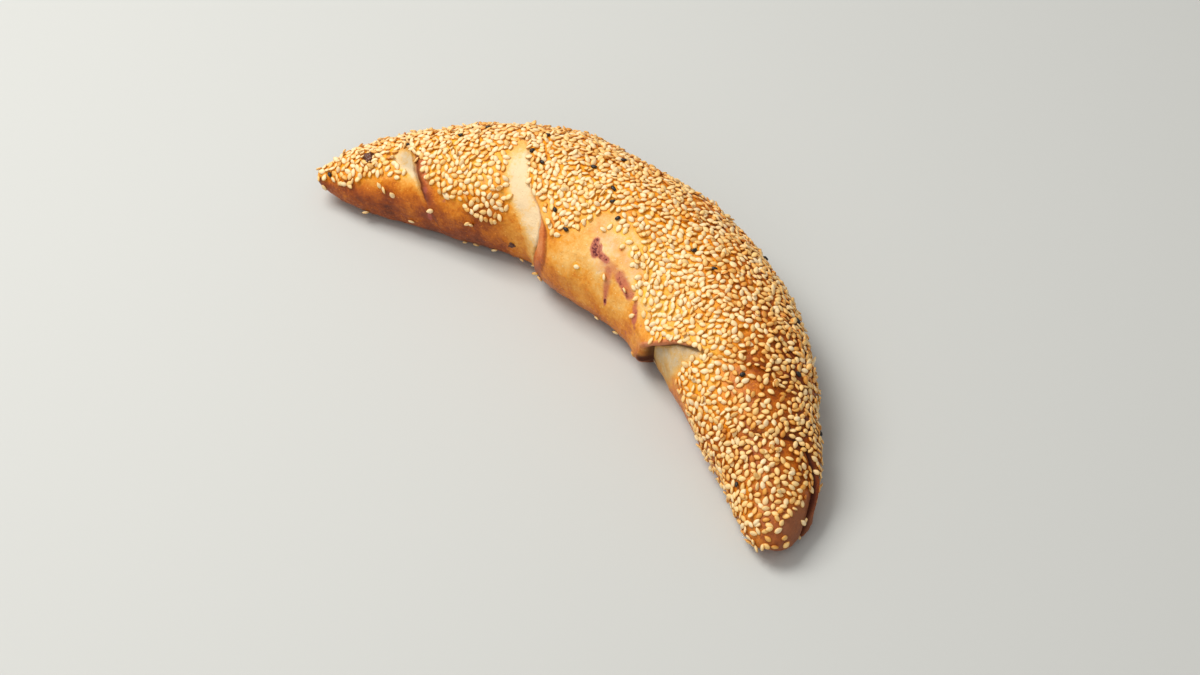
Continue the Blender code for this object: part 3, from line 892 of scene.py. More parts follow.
# How the seeds are shaken: rounds, how much larger they count at first and in the end, the
# share of the rounds in which they settle, how far one may go or turn in a round, how
# strongly an overlap turns it, how near a neighbour is, and the random nudge at the end
SHAKES = 70
CROWDED = 1.18
SETTLED = 0.96
SETTLING_SHARE = 0.6
LONGEST_MOVE = 0.5
LONGEST_TURN = 0.3
TWIST_SHARE = 0.07
NEIGHBOUR_REACH = 4.6
LOOSENESS = 0.16

# %% Black seeds where they lie
BLACK_SEEDS = (
    (-114.8, 80), (-92.4, 81), (-83.6, 64), (-57.6, 72), (-57.6, 96), (-50.2, 106), (-29.5, 88), (-24.7, 62),
    (-14.1, 96), (-9.3, 106), (-30.5, 135), (-19, 142), (-1.5, 115), (32.4, 95), (44.6, 91), (96, 102),
    (96, 49), (136.7, 147), (-148.8, 121), (-70, 20), (-20, 12), (38, 25), (70, 30), (112, 8), (-104, 35),
)
rng = np.random.default_rng(11)
black_place = np.array(BLACK_SEEDS, float)
black_turn = rng.uniform(0, math.tau, len(black_place))


# %% Draw the places
def local_frame(station, angle, step=0.05):
    """Points in mm, the directions along and round the roll there, and how long one unit of each is."""
    here = skin_point(station, angle) / MM
    along = (skin_point(station + step, angle) - skin_point(station - step, angle)) / MM / (2 * step)
    around = (skin_point(station, angle + step) - skin_point(station, angle - step)) / MM / (2 * step)
    long_unit = np.linalg.norm(along, axis=-1, keepdims=True) + 1e-9
    round_unit = np.linalg.norm(around, axis=-1, keepdims=True) + 1e-9
    return here, along / long_unit, around / round_unit, long_unit[:, 0], round_unit[:, 0]


def drawn_places():
    """Seed places drawn in the cells of the skin's sheet, as many as its seeded area takes."""
    sides = skin[1:, :-1] - skin[:-1, :-1], skin[:-1, 1:] - skin[:-1, :-1]
    area = np.linalg.norm(np.cross(*sides), axis=-1) / MM**2
    cell_station, cell_angle = stations[:-1, :-1].ravel(), angle_grid[:-1, :-1].ravel()
    weight = area.ravel() * seeded(cell_station, cell_angle) * smooth_through(CROWDING, cell_station)
    count = int(round(weight.sum() * SEEDS_PER_AREA))
    cell = rng.choice(len(weight), count, p=weight / weight.sum())
    jitter = rng.uniform(-0.5, 0.5, (2, count))
    return cell_station[cell] + jitter[0], cell_angle[cell] + jitter[1]


seed_station, seed_angle = drawn_places()
seed_turn = rng.uniform(0, math.tau, len(seed_station))
seed_size = rng.normal(1.0, 0.06, len(seed_station)).clip(0.84, 1.14) * smooth_through(GROWTH, seed_station)
print("drawn:", len(seed_station), "seeds")


# %% Shake them apart
def disc_rows(here, along, around, turn, size, grown=1.0):
    """Centres and radii in mm of each seed's discs, and their offsets along the seed."""
    axis = np.cos(turn)[:, None] * along + np.sin(turn)[:, None] * around
    across = -np.sin(turn)[:, None] * along + np.cos(turn)[:, None] * around
    shift, radius = np.array(DISCS).T
    shift, radius = shift * SEED_LENGTH, radius * SEED_WIDTH * grown
    centre = here[:, None] + axis[:, None] * (shift[None, :, None] * size[:, None, None])
    return centre, radius[None, :] * size[:, None], shift[None, :] * size[:, None], across


def neighbours(here):
    """Pairs of seeds that are close enough to touch soon, each pair both ways round."""
    gap = np.linalg.norm(here[:, None, :] - here[None, :, :], axis=-1)
    first, second = np.nonzero(gap < NEIGHBOUR_REACH)
    return first[first != second], second[first != second]


def shake(station, angle, turn, size, fixed):
    """Push overlapping seeds apart along the skin, turning them about their middles.

    They start as if a fifth larger, which spreads them, and settle to their own size. Each keeps
    to where seeds lie at least as thickly as its own threshold, so the borders come out ragged.
    """
    station, angle, turn = station.copy(), angle.copy(), turn.copy()
    thinnest = np.minimum(rng.uniform(0.1, 0.9, len(station)), seeded(station, angle) - 0.01)
    for shake_round in range(SHAKES):
        here, along, around, long_unit, round_unit = local_frame(station, angle)
        if shake_round % 5 == 0:
            first, second = neighbours(here.astype(np.float32))
        settling = min(shake_round / (SETTLING_SHARE * SHAKES), 1)
        grown = CROWDED + (SETTLED - CROWDED) * settling
        centre, radius, shift, across = disc_rows(here, along, around, turn, size, grown)
        push = np.zeros_like(here)
        twist = np.zeros(len(here))
        for i in range(len(DISCS)):
            for j in range(len(DISCS)):
                line = centre[first, i] - centre[second, j]
                gap = np.linalg.norm(line, axis=-1) + 1e-6
                overlap = np.maximum(radius[first, i] + radius[second, j] - gap, 0) * 0.5
                move = line / gap[:, None] * overlap[:, None]
                np.add.at(push, first, move * 0.5)
                turning = np.einsum("ij,ij->i", move, across[first]) * shift[first, i]
                np.add.at(twist, first, turning * TWIST_SHARE)
        push[fixed] = 0
        twist[fixed] = 0
        distance = np.linalg.norm(push, axis=-1, keepdims=True)
        push = push * np.minimum(LONGEST_MOVE / (distance + 1e-9), 1)
        new_station = station + np.einsum("ij,ij->i", push, along) / long_unit
        new_angle = angle + np.einsum("ij,ij->i", push, around) / round_unit
        kept = (seeded(new_station, new_angle) > thinnest) & ~fixed
        station = np.where(kept, new_station, station)
        angle = np.where(kept, new_angle, angle)
        turn = turn + np.clip(twist, -LONGEST_TURN, LONGEST_TURN)
    return station, angle, turn


# A black seed counts as nearly as large as a sesame seed, and it stays where it is
BLACK_ROOM = 0.98
all_station = np.concatenate((black_place[:, 0], seed_station))
all_angle = np.concatenate((black_place[:, 1], seed_angle))
all_turn = np.concatenate((black_turn, seed_turn))
all_size = np.concatenate((np.full(len(black_place), BLACK_ROOM), seed_size))
is_black = np.arange(len(all_station)) < len(black_place)
all_station, all_angle, all_turn = shake(all_station, all_angle, all_turn, all_size, is_black)
loose = np.where(is_black, 0.0, rng.normal(0, LOOSENESS, (3, len(all_station))))
all_station = all_station + loose[0]
all_angle = all_angle + 2 * loose[1]
all_turn = all_turn + 2 * loose[2]
print("shaken:", int((~is_black).sum()), "sesame seeds round", int(is_black.sum()), "black ones")

# %% [markdown]
# ## Stray seeds and seeds on top
# A few seeds always end up where they shouldn't: stuck to a bare flank, caught along the
# base, or lying across others. They break the edge of the seeded area, which otherwise
# looks cut out.

# %% Strays
STRAY_SEEDS = (
    (-124.5, 145), (-117.5, 158), (-132, 208), (-108, 194), (-97, 172), (-74, 178), (-76.5, 179),
    (-80, 214), (-74, 216), (-64, 214), (-49, 214), (-42, 216), (-33, 196), (-4.5, 163), (-30, 200),
    (-3, 128), (9, 204), (11.5, 158), (9.8, 131), (16, 131), (19.5, 137), (24.5, 155.5), (22, 206),
    (35, 168), (27.5, 150), (39, 206), (47, 211), (93.5, 178), (55, 222), (90, 214), (-152, 198),
    (-90, 150), (69, 141), (64, 147), (148, 12), (146, 4), (157, 40), (157.5, 8), (150, -22),
    (-143.5, 148), (-139.5, 151), (-122, 152), (-16, 137), (29, 147), (32, 155), (-1.6, 123.5),
    (-13, 131), (14.5, 126.5), (18.3, 128.5), (22.8, 132.5), (5.5, 120),
)
PILED_SHARE = 0.12
PILED_SHIFT = 1.2
# No piled seed lies this near a black one, in mm along and degrees round
BLACK_CLEAR = (5.0, 9.0)
stray = np.array(STRAY_SEEDS, float)
on_top = ~is_black & (all_angle > 35) & (all_angle < 150)
piled = rng.choice(np.nonzero(on_top)[0], int(PILED_SHARE * on_top.sum()), replace=False)
from_black = np.stack((all_station, all_angle), axis=1)[piled, None] - black_place[None]
piled = piled[(np.abs(from_black) > BLACK_CLEAR).any(axis=2).all(axis=1)]
piled_shift = rng.uniform(-PILED_SHIFT, PILED_SHIFT, (2, len(piled)))
extra = len(stray) + len(piled)
seed_rows = {
    "station": np.concatenate((all_station[~is_black], stray[:, 0], all_station[piled] + piled_shift[0])),
    "angle": np.concatenate((all_angle[~is_black], stray[:, 1], all_angle[piled] + 2 * piled_shift[1])),
    "turn": np.concatenate((all_turn[~is_black], rng.uniform(0, math.tau, extra))),
    "size": np.concatenate((all_size[~is_black], rng.uniform(0.92, 1.05, extra))),
}
seed_count = len(seed_rows["station"])
is_piled = np.arange(seed_count) >= seed_count - len(piled)
is_stray = ~is_piled & (np.arange(seed_count) >= seed_count - extra)
print("with strays and piled ones:", seed_count, "sesame seeds")

# %% [markdown]
# ## Seating the seeds
# A seed lies in the egg wash with its flat side down, sunk by a third of its
# thickness. Each is seated on the finished skin by the nearest point of the mesh, so it
# follows every blister. A seed's turn, tilt and size are stored on a point, because
# that is all that Geometry Nodes needs to put the real shape there later.

# %% Seat each seed on the skin
SINK = 0.3
TILT = 0.26
PILED_TILT = 0.35
PILED_LIFT = 0.8
ON_EDGE_SHARE = 0.05
EDGE_TILT = (0.6, 1.15)
CROWN_REACH = 55
skin_surface = BVHTree.FromObject(dough, bpy.context.evaluated_depsgraph_get())


def seat(station, angle, turn, tilt, roll, size, lift):
    """Places and rotations of pieces on the skin. size is (length, width, thickness) in mm."""
    here, along = local_frame(station, angle)[:2]
    places = np.zeros((len(station), 3))
    turns = np.zeros((len(station), 3))
    for i in range(len(station)):
        spot, normal = skin_surface.find_nearest(Vector(here[i] * MM))[:2]
        side = normal.cross(Vector(along[i])).normalized()
        rotation = Matrix((side.cross(normal), side, normal)).transposed()
        for amount, axis in ((turn[i], "Z"), (tilt[i], "Y"), (roll[i], "X")):
            rotation = rotation @ Matrix.Rotation(amount, 3, axis)
        half = Vector(size[i]) * 0.5 * MM
        standing = math.sqrt(sum((rotation.col[k].dot(normal) * half[k]) ** 2 for k in range(3)))
        centre = spot + normal * (standing - SINK * size[i][2] * MM + lift[i] * MM)
        above_floor = math.sqrt(sum((rotation.col[k].z * half[k]) ** 2 for k in range(3)))
        centre.z = max(centre.z, above_floor)
        places[i] = centre
        turns[i] = rotation.to_euler()
    return places, turns


seed_tilt = rng.normal(0, TILT, seed_count)
seed_roll = rng.normal(0, TILT, seed_count)
on_edge = rng.random(seed_count) < ON_EDGE_SHARE * (np.abs(seed_rows["angle"] - 90) < CROWN_REACH)
seed_roll = np.where(on_edge, rng.uniform(*EDGE_TILT, seed_count), seed_roll)
seed_tilt = np.where(is_piled, rng.normal(0, PILED_TILT, seed_count), seed_tilt)
seed_lift = np.where(is_piled, PILED_LIFT, 0.0)
seed_dims = seed_rows["size"][:, None] * np.array((SEED_LENGTH, SEED_WIDTH, SEED_THICKNESS))
seed_dims = seed_dims * rng.uniform(0.94, 1.06, (seed_count, 3))
seed_place, seed_rotation = seat(
    seed_rows["station"], seed_rows["angle"], seed_rows["turn"], seed_tilt, seed_roll, seed_dims, seed_lift)
print("seated", seed_count, "seeds, the highest at", round(float(seed_place[:, 2].max()) / MM, 1), "mm")

# %% [markdown]
# ## The shape of a seed, instanced
# A sesame seed is a flat teardrop with a rounded back. More than three thousand copies
# must stay cheap, so one seed has only 48 triangles, spent where they show: a cone of two
# steps is blown up to a dome, drawn out to a teardrop, and closed by a flat point below.
# A Geometry Nodes tree makes that one shape, instances it on the points with their stored
# turns and sizes, and realizes the copies as plain mesh. The same tree makes the black
# seeds from other sizes.


# %% The seed tree
# Powers that push the cone's steps outwards, blow it up to a dome and narrow its front end
OUTLINE_POWER = -0.62
DOME_POWER = 0.38
POINT_POWER = 1.7


def seed_tree():
    """One seed, copied to every point. Point is how pointed it is, Keel how sharp its back."""
    tree, given, result = geometry_tree("seeds_on_points", (
        ("Outline points", "NodeSocketInt", 12), ("Steps", "NodeSocketInt", 2), ("Point", NUMBER, 0.5),
        ("Keel", NUMBER, 0.0), ("Material", "NodeSocketMaterial", None),
    ))
    cone = add(tree, "GeometryNodeMeshCone", {
        "Vertices": given.outputs["Outline points"], "Side Segments": given.outputs["Steps"],
        "Fill Segments": 1, "Radius Top": 0.0, "Radius Bottom": 1.0, "Depth": 1.0,
    }, fill_type="TRIANGLE_FAN").outputs["Mesh"]

    # The cone's steps move outwards, and the front narrows to a point
    place = add(tree, "GeometryNodeInputPosition").outputs[0]
    part = add(tree, "ShaderNodeSeparateXYZ", {0: place}).outputs
    flat = add(tree, "ShaderNodeCombineXYZ", {0: part[0], 1: part[1], 2: 0.0}).outputs[0]
    radius = add(tree, "ShaderNodeVectorMath", {0: flat}, operation="LENGTH").outputs["Value"]
    swell = maths(tree, "POWER", maths(tree, "MAXIMUM", radius, 0.01), OUTLINE_POWER)
    along = maths(tree, "MULTIPLY", part[0], swell)
    across = maths(tree, "MULTIPLY", part[1], swell)
    forward = maths(tree, "MAXIMUM", along, 0.0)
    narrowing = maths(tree, "MULTIPLY", maths(tree, "POWER", forward, POINT_POWER), given.outputs["Point"])
    across = maths(tree, "MULTIPLY", across, maths(tree, "SUBTRACT", 1.0, narrowing))

    # The height is a dome that falls off beside its keel, and the base's middle goes down
    middle = maths(tree, "SUBTRACT", 1.0, maths(tree, "MULTIPLY", radius, 100.0, clamp=True))
    below = maths(tree, "MULTIPLY", middle, maths(tree, "SUBTRACT", 1.0, part[2]))
    top = maths(tree, "POWER", maths(tree, "MAXIMUM", part[2], 0.0), DOME_POWER)
    ridge = maths(tree, "MULTIPLY", maths(tree, "ABSOLUTE", across), given.outputs["Keel"])
    height = maths(tree, "SUBTRACT", maths(tree, "SUBTRACT", top, below), ridge)
    shaped = add(tree, "ShaderNodeCombineXYZ", {0: along, 1: across, 2: height}).outputs[0]
    shaped = add(tree, "ShaderNodeVectorMath", {0: shaped, "Scale": 0.5}, operation="SCALE").outputs[0]

    # Each point remembers how far forward and how near the rim it is, for the material, which darkens the rim
    # partly as painted shade
    rim = maths(tree, "POWER", maths(tree, "MINIMUM", radius, 1.0), 0.5)
    marked = cone
    for label, value in (("along", along), ("rim", rim)):
        marked = add(tree, "GeometryNodeStoreNamedAttribute", {
            "Geometry": marked, "Name": label, "Value": value,
        }, data_type="FLOAT", domain="POINT").outputs[0]
    seed = add(tree, "GeometryNodeSetPosition", {"Geometry": marked, "Position": shaped}).outputs[0]

    # One copy for each point, made real
    copies = add(tree, "GeometryNodeInstanceOnPoints", {
        "Points": given.outputs["Geometry"], "Instance": seed,
        "Rotation": stored(tree, "turn", "FLOAT_VECTOR"), "Scale": stored(tree, "size", "FLOAT_VECTOR"),
    }).outputs[0]
    real = add(tree, "GeometryNodeRealizeInstances", {"Geometry": copies}).outputs[0]
    smooth = add(tree, "GeometryNodeSetShadeSmooth", {"Geometry": real}).outputs[0]
    sockets = {"Geometry": smooth, "Material": given.outputs["Material"]}
    tree.links.new(add(tree, "GeometryNodeSetMaterial", sockets).outputs[0], result.inputs[0])
    return tree


def points_object(name, places, turns, sizes, tones):
    """A mesh of loose points that carry each seed's turn, size and tone."""
    mesh = bpy.data.meshes.new(name)
    mesh.from_pydata(places.tolist(), [], [])
    for label, values in (("turn", turns), ("size", sizes)):
        layer = mesh.attributes.new(label, "FLOAT_VECTOR", "POINT")
        layer.data.foreach_set("vector", values.astype(np.float32).ravel())
    write_mask(mesh, "tone", tones)
    return new_object(name, mesh)


SEED_SHAPE = seed_tree()

# %% [markdown]
# ## Shared effects for the materials
# Two effects are used by more than one material, so they are node groups. Toasting
# makes patchy differences at two scales, as heat does. Fine grain gives the small
# unevenness that scatters light, for a Bump node.


# %% Node groups
def shader_group(name, inputs, outputs):
    """An empty node group with inputs (name, socket type, value) and outputs (name, socket type)."""
    tree = bpy.data.node_groups.new(name, "ShaderNodeTree")
    for label, kind, value in inputs:
        tree.interface.new_socket(label, in_out="INPUT", socket_type=kind).default_value = value
    for label, kind in outputs:
        tree.interface.new_socket(label, in_out="OUTPUT", socket_type=kind)
    return tree, tree.nodes.new("NodeGroupInput"), tree.nodes.new("NodeGroupOutput")


def noise_at(tree, place, scale, detail):
    """Rough noise from 0 to 1. A larger scale makes smaller patches."""
    sockets = {"Vector": place, "Scale": scale, "Detail": detail, "Roughness": 0.6}
    return add(tree, "ShaderNodeTexNoise", sockets).outputs[0]


def toasting_group():
    """Patches (about 0, from -1 to 1) at a broad and a fine scale."""
    tree, given, result = shader_group("toasting", (
        ("Broad scale", NUMBER, 60.0), ("Fine scale", NUMBER, 500.0), ("Fine share", NUMBER, 0.4),
    ), (("Patches", NUMBER),))
    place = add(tree, "ShaderNodeTexCoord").outputs["Object"]
    broad = maths(tree, "SUBTRACT", noise_at(tree, place, given.outputs["Broad scale"], 3.0), 0.5)
    fine = maths(tree, "SUBTRACT", noise_at(tree, place, given.outputs["Fine scale"], 4.0), 0.5)
    both = maths(tree, "MULTIPLY_ADD", fine, given.outputs["Fine share"], broad)
    tree.links.new(maths(tree, "MULTIPLY", both, 2.0), result.inputs["Patches"])
    return tree


def grain_group():
    """Height of a fine uneven grain with pits, for bump."""
    tree, given, result = shader_group(
        "fine_grain", (("Scale", NUMBER, 1500.0), ("Pits", NUMBER, 0.5)), (("Height", NUMBER),))
    place = add(tree, "ShaderNodeTexCoord").outputs["Object"]
    grain = noise_at(tree, place, given.outputs["Scale"], 4.0)
    pit_scale = maths(tree, "MULTIPLY", given.outputs["Scale"], 0.55)
    cells = add(tree, "ShaderNodeTexVoronoi", {"Vector": place, "Scale": pit_scale}, feature="F1")
    pits = remap(tree, cells.outputs["Distance"], 0.3, 0.05)
    height = maths(tree, "SUBTRACT", grain, maths(tree, "MULTIPLY", pits, given.outputs["Pits"]))
    tree.links.new(height, result.inputs["Height"])
    return tree


TOASTING = toasting_group()
FINE_GRAIN = grain_group()


def use_group(tree, group, sockets):
    """The first output of a node group, with its inputs set."""
    return add(tree, "ShaderNodeGroup", sockets, node_tree=group).outputs[0]


# %% Helpers for materials
def lit(red, green, blue):
    """A colour given as it is seen on screen, from 0 to 255, turned to the shader's linear values."""
    def linear(value):
        value = value / 255
        return value / 12.92 if value <= 0.04045 else ((value + 0.055) / 1.055) ** 2.4
    return (linear(red), linear(green), linear(blue), 1.0)


def new_material(name, **constants):
    """A Principled BSDF material whose plain values are set on the shader's own sockets."""
    material = bpy.data.materials.new(name)
    material.use_nodes = True
    shader = material.node_tree.nodes["Principled BSDF"]
    for label, value in constants.items():
        shader.inputs[label.replace("_", " ")].default_value = value
    return material, material.node_tree, shader


def mask_on(tree, name):
    """A mask that was written on the mesh's points."""
    return add(tree, "ShaderNodeAttribute", attribute_name=name).outputs["Fac"]


def blend(tree, amount, first, second, mode="MIX"):
    """The second colour over the first. Sockets 6 and 7 are the Mix node's two colours."""
    sockets = {0: amount, 6: first, 7: second}
    return add(tree, "ShaderNodeMix", sockets, data_type="RGBA", blend_type=mode).outputs[2]


def ramp(tree, value, stops):
    """A colour ramp through (place, colour) stops."""
    node = add(tree, "ShaderNodeValToRGB", {0: value})
    elements = node.color_ramp.elements
    elements.remove(elements[1])
    elements[0].position, elements[0].color = stops[0]
    for place, color in stops[1:]:
        elements.new(place).color = color
    return node.outputs[0]


def bump(tree, shader, height, strength, distance):
    """A Bump node on the shader's normal. distance is in mm."""
    sockets = {"Strength": strength, "Distance": distance * MM, "Height": height}
    tree.links.new(add(tree, "ShaderNodeBump", sockets).outputs[0], shader.inputs["Normal"])


# %% [markdown]
# ## The crust
# Egg-washed dough goes from cream through gold and amber to brown as it bakes, so one
# ramp of those colours, read by the browning mask, gives every tone on the skin. Patches
# of toasting push the mask to and fro. Where a seed lies, the wash gathers round it and
# browns more, and the crust there turns a more saturated gold, partly as painted light
# that keeps the shade between the seeds bright. Pink dough, dull strips that partly carry
# painted shade, juice stains and painted shade in the creases are laid over. Bare
# golden skin has a thin shine, and pale strips have none.

# %% Crust material
CREAM = lit(236, 209, 166)
LIGHT_GOLD = lit(239, 188, 108)
GOLD = lit(232, 156, 56)
AMBER = lit(210, 118, 22)
BROWN = lit(154, 70, 10)
DARK_BROWN = lit(86, 32, 6)
# Colours round the seeds: the wash's browning, and painted light that keeps the shade between the seeds
# bright gold
WASH_GLOW_GOLD = lit(250, 190, 44)
WASH_GLOW_AMBER = lit(236, 152, 4)
WASH_GLOW_BROWN = lit(172, 88, 4)
WASH_GLOW_DARK = lit(88, 34, 4)
PALE_PINK = lit(226, 140, 104)
RED_PINK = lit(184, 90, 40)
DARK_PINK = lit(122, 58, 34)
# Multiplied over dull dough; on the pale strips it is partly painted shade
DULL_AND_SHADE = lit(214, 217, 222)
PALE_JUICE = lit(186, 96, 78)
JUICE = lit(84, 12, 32)
# Painted shade: the dark of the creases, the valley and the hollow under the middle wrap
CREASE_SHADE = lit(60, 13, 2)
SCORCHED = lit(146, 94, 66)


def crust_material():
    """Baked dough, from its masks. Small pale spots stand for the finest bubbles."""
    material, tree, shader = new_material("crust", Coat_Roughness=0.3, IOR=1.42, Specular_IOR_Level=0.28)
    patches = use_group(tree, TOASTING, {"Broad scale": 75.0, "Fine scale": 420.0, "Fine share": 0.5})
    specks = use_group(tree, TOASTING, {"Broad scale": 900.0, "Fine scale": 2200.0, "Fine share": 0.6})
    place = add(tree, "ShaderNodeTexCoord").outputs["Object"]
    cells = add(tree, "ShaderNodeTexVoronoi", {"Vector": place, "Scale": 720.0}, feature="F1")
    some = add(tree, "ShaderNodeSeparateColor", {0: cells.outputs["Color"]}).outputs[0]
    near_middle = remap(tree, cells.outputs["Distance"], 0.3, 0.12)
    spot = maths(tree, "MULTIPLY", near_middle, remap(tree, some, 0.5, 0.9))

    # The browning mask, pushed to and fro, picks the colour of plain dough and of browned wash, whose
    # saturated gold is partly painted light
    bake = maths(tree, "MULTIPLY_ADD", patches, 0.36, mask_on(tree, "bake"))
    bake = maths(tree, "MULTIPLY_ADD", specks, 0.14, bake)
    bake = maths(tree, "MULTIPLY_ADD", spot, -0.2, bake)
    color = ramp(tree, bake, (
        (0.0, CREAM), (0.2, LIGHT_GOLD), (0.4, GOLD), (0.58, AMBER), (0.78, BROWN), (1.0, DARK_BROWN)))
    washed_glow = ramp(tree, bake, ((0.15, WASH_GLOW_GOLD), (0.42, WASH_GLOW_AMBER), (0.68, WASH_GLOW_BROWN), (0.95, WASH_GLOW_DARK)))
    color = blend(tree, maths(tree, "MULTIPLY", mask_on(tree, "wash_and_glow"), 0.85), color, washed_glow)

    # Pink, dull (partly painted shade), scorched and stained dough and the painted shade of the creases are
    # laid over it in turn
    pink = ramp(tree, bake, ((0.2, PALE_PINK), (0.55, RED_PINK), (0.95, DARK_PINK)))
    flush = maths(tree, "MULTIPLY_ADD", patches, 0.25, mask_on(tree, "blush"), clamp=True)
    flush = maths(tree, "MULTIPLY", flush, remap(tree, mask_on(tree, "blush"), 0.0, 0.3))
    color = blend(tree, maths(tree, "MULTIPLY", flush, 0.85), color, pink)
    color = blend(tree, mask_on(tree, "ash_and_shade"), color, DULL_AND_SHADE, mode="MULTIPLY")
    color = blend(tree, maths(tree, "MULTIPLY", mask_on(tree, "scorch"), 0.7), color, SCORCHED)
    stain = mask_on(tree, "stain")
    soaked = maths(tree, "MULTIPLY_ADD", patches, 0.15, stain)
    color = blend(tree, remap(tree, soaked, 0.05, 0.6, 0.0, 0.9), color, PALE_JUICE)
    blot = maths(tree, "MULTIPLY_ADD", specks, 0.9, maths(tree, "MULTIPLY_ADD", patches, 0.2, stain))
    color = blend(tree, remap(tree, blot, 0.6, 1.1, 0.0, 0.95), color, JUICE)
    # Painted shade in the creases
    color = blend(tree, maths(tree, "MULTIPLY", mask_on(tree, "crease_shade"), 0.93), color, CREASE_SHADE)
    tree.links.new(color, shader.inputs["Base Color"])

    # Browner skin is smoother and shinier, and scorched skin and creases are matte
    roughness = remap(tree, bake, 0.05, 0.7, 0.6, 0.4)
    roughness = maths(tree, "MULTIPLY_ADD", mask_on(tree, "scorch"), 0.25, roughness)
    roughness = maths(tree, "MULTIPLY_ADD", mask_on(tree, "crease_shade"), 0.35, roughness)
    tree.links.new(maths(tree, "MULTIPLY_ADD", specks, 0.1, roughness), shader.inputs["Roughness"])
    tree.links.new(remap(tree, bake, 0.15, 0.6, 0.0, 0.06), shader.inputs["Coat Weight"])
    grain = use_group(tree, FINE_GRAIN, {"Scale": 1100.0, "Pits": 0.5})
    bump(tree, shader, maths(tree, "MULTIPLY_ADD", spot, 0.35, grain), strength=0.8, distance=0.26)
    return material


# %% [markdown]
# ## Sesame
# Hulled sesame is ivory, and toasts to golden tan, more in some seeds than in others and
# most at the pointed end. Each seed carries a tone of its own, and a fine mottling runs
# over all of them. Each rim is darker, partly wash on its edge and partly painted shade.
# The skin of a seed is slightly glossy.

# %% Sesame material
IVORY = lit(248, 222, 176)
STRAW = lit(246, 204, 130)
TOASTED = lit(231, 163, 68)
DEEP_TOASTED = lit(196, 112, 36)


def sesame_material():
    """Seeds whose tone comes from their own number, darker at the tip, and at the rim partly as painted
    shade.
    """
    material, tree, shader = new_material(
        "sesame", IOR=1.46, Specular_IOR_Level=0.4, Coat_Weight=0.06, Coat_Roughness=0.3)
    patches = use_group(tree, TOASTING, {"Broad scale": 300.0, "Fine scale": 1400.0, "Fine share": 0.5})
    tip = maths(tree, "POWER", maths(tree, "MAXIMUM", mask_on(tree, "along"), 0.0), 4.0)
    tip = maths(tree, "MULTIPLY", tip, 0.14)
    # The rim is darker: partly wash on the seed's edge, partly painted shade
    rim = maths(tree, "MULTIPLY", maths(tree, "POWER", mask_on(tree, "rim"), 5.0), 0.5)
    tone = maths(tree, "ADD", maths(tree, "ADD", tip, rim), mask_on(tree, "tone"))
    tone = maths(tree, "MULTIPLY_ADD", patches, 0.12, tone)
    color = ramp(tree, tone, ((0.0, IVORY), (0.35, STRAW), (0.7, TOASTED), (1.0, DEEP_TOASTED)))
    tree.links.new(color, shader.inputs["Base Color"])
    tree.links.new(maths(tree, "MULTIPLY_ADD", patches, 0.06, 0.42), shader.inputs["Roughness"])
    grain = use_group(tree, FINE_GRAIN, {"Scale": 3500.0, "Pits": 0.2})
    bump(tree, shader, grain, strength=0.4, distance=0.05)
    return material


def dark_material(name, deep, light, roughness, scale):
    """Black seeds and the olive's skin: dark, finely wrinkled and a little shiny."""
    material, tree, shader = new_material(name, Roughness=roughness, IOR=1.45)
    patches = use_group(tree, TOASTING, {"Broad scale": scale, "Fine scale": 4 * scale, "Fine share": 0.6})
    color = ramp(tree, maths(tree, "MULTIPLY_ADD", patches, 0.9, 0.45), ((0.0, deep), (1.0, light)))
    tree.links.new(color, shader.inputs["Base Color"])
    grain = use_group(tree, FINE_GRAIN, {"Scale": 3 * scale, "Pits": 0.4})
    bump(tree, shader, grain, strength=0.6, distance=0.08)
    return material


CRUST = crust_material()
SESAME = sesame_material()
BLACK_SEED = dark_material("black_seed", lit(18, 16, 16), lit(52, 44, 40), 0.45, 700.0)
OLIVE_SKIN = dark_material("olive_skin", lit(44, 20, 12), lit(112, 60, 36), 0.35, 450.0)

# %% [markdown]
# ## Laying the seeds
# Now the points become seeds. A seed's tone is drawn at random, a little darker where
# the crust under it is browner, because both stood in the same heat.

# %% Sesame seeds on the dough
SEED_TONE = 0.2
TONE_SPREAD = 0.21
TONE_FROM_CRUST = 0.5
STRAY_PALER = 0.2
DARKEST_TONE = 0.95
seed_bake = browning(seed_rows["station"], seed_rows["angle"])
seed_tone = rng.normal(SEED_TONE, TONE_SPREAD, seed_count)
seed_tone = seed_tone + TONE_FROM_CRUST * (seed_bake - 0.5) - STRAY_PALER * is_stray
seed_tone = np.clip(seed_tone, 0.0, DARKEST_TONE)
sesame = points_object("sesame_seeds", seed_place, seed_rotation, seed_dims * MM, seed_tone)
sesame_mesh = run_tree(sesame, SEED_SHAPE, {
    "Outline points": 12, "Steps": 2, "Point": 0.58, "Material": SESAME})
print("sesame:", sum(len(face.vertices) - 2 for face in sesame_mesh.polygons), "triangles")

# %% Black seeds on the dough
BLACK_SIZE = np.array((2.9, 1.9, 1.45))
BLACK_TILT = 0.15
BLACK_ROLL = 0.3
BLACK_LIFT = 0.35
black_count = len(black_place)
black_dims = BLACK_SIZE[None, :] * rng.uniform(0.88, 1.1, (black_count, 3))
black_tilt = rng.normal(0, BLACK_TILT, black_count)
black_roll = rng.normal(0, BLACK_ROLL, black_count)
black_seats, black_rotation = seat(
    *black_place.T, black_turn, black_tilt, black_roll, black_dims, np.full(black_count, BLACK_LIFT))
black_tone = rng.random(black_count)
black_seeds = points_object("black_seeds", black_seats, black_rotation, black_dims * MM, black_tone)
black_mesh = run_tree(black_seeds, SEED_SHAPE, {
    "Outline points": 10, "Steps": 2, "Point": 0.62, "Keel": 0.3, "Material": BLACK_SEED})
print("black seeds:", black_count, "with", len(black_mesh.polygons), "faces")

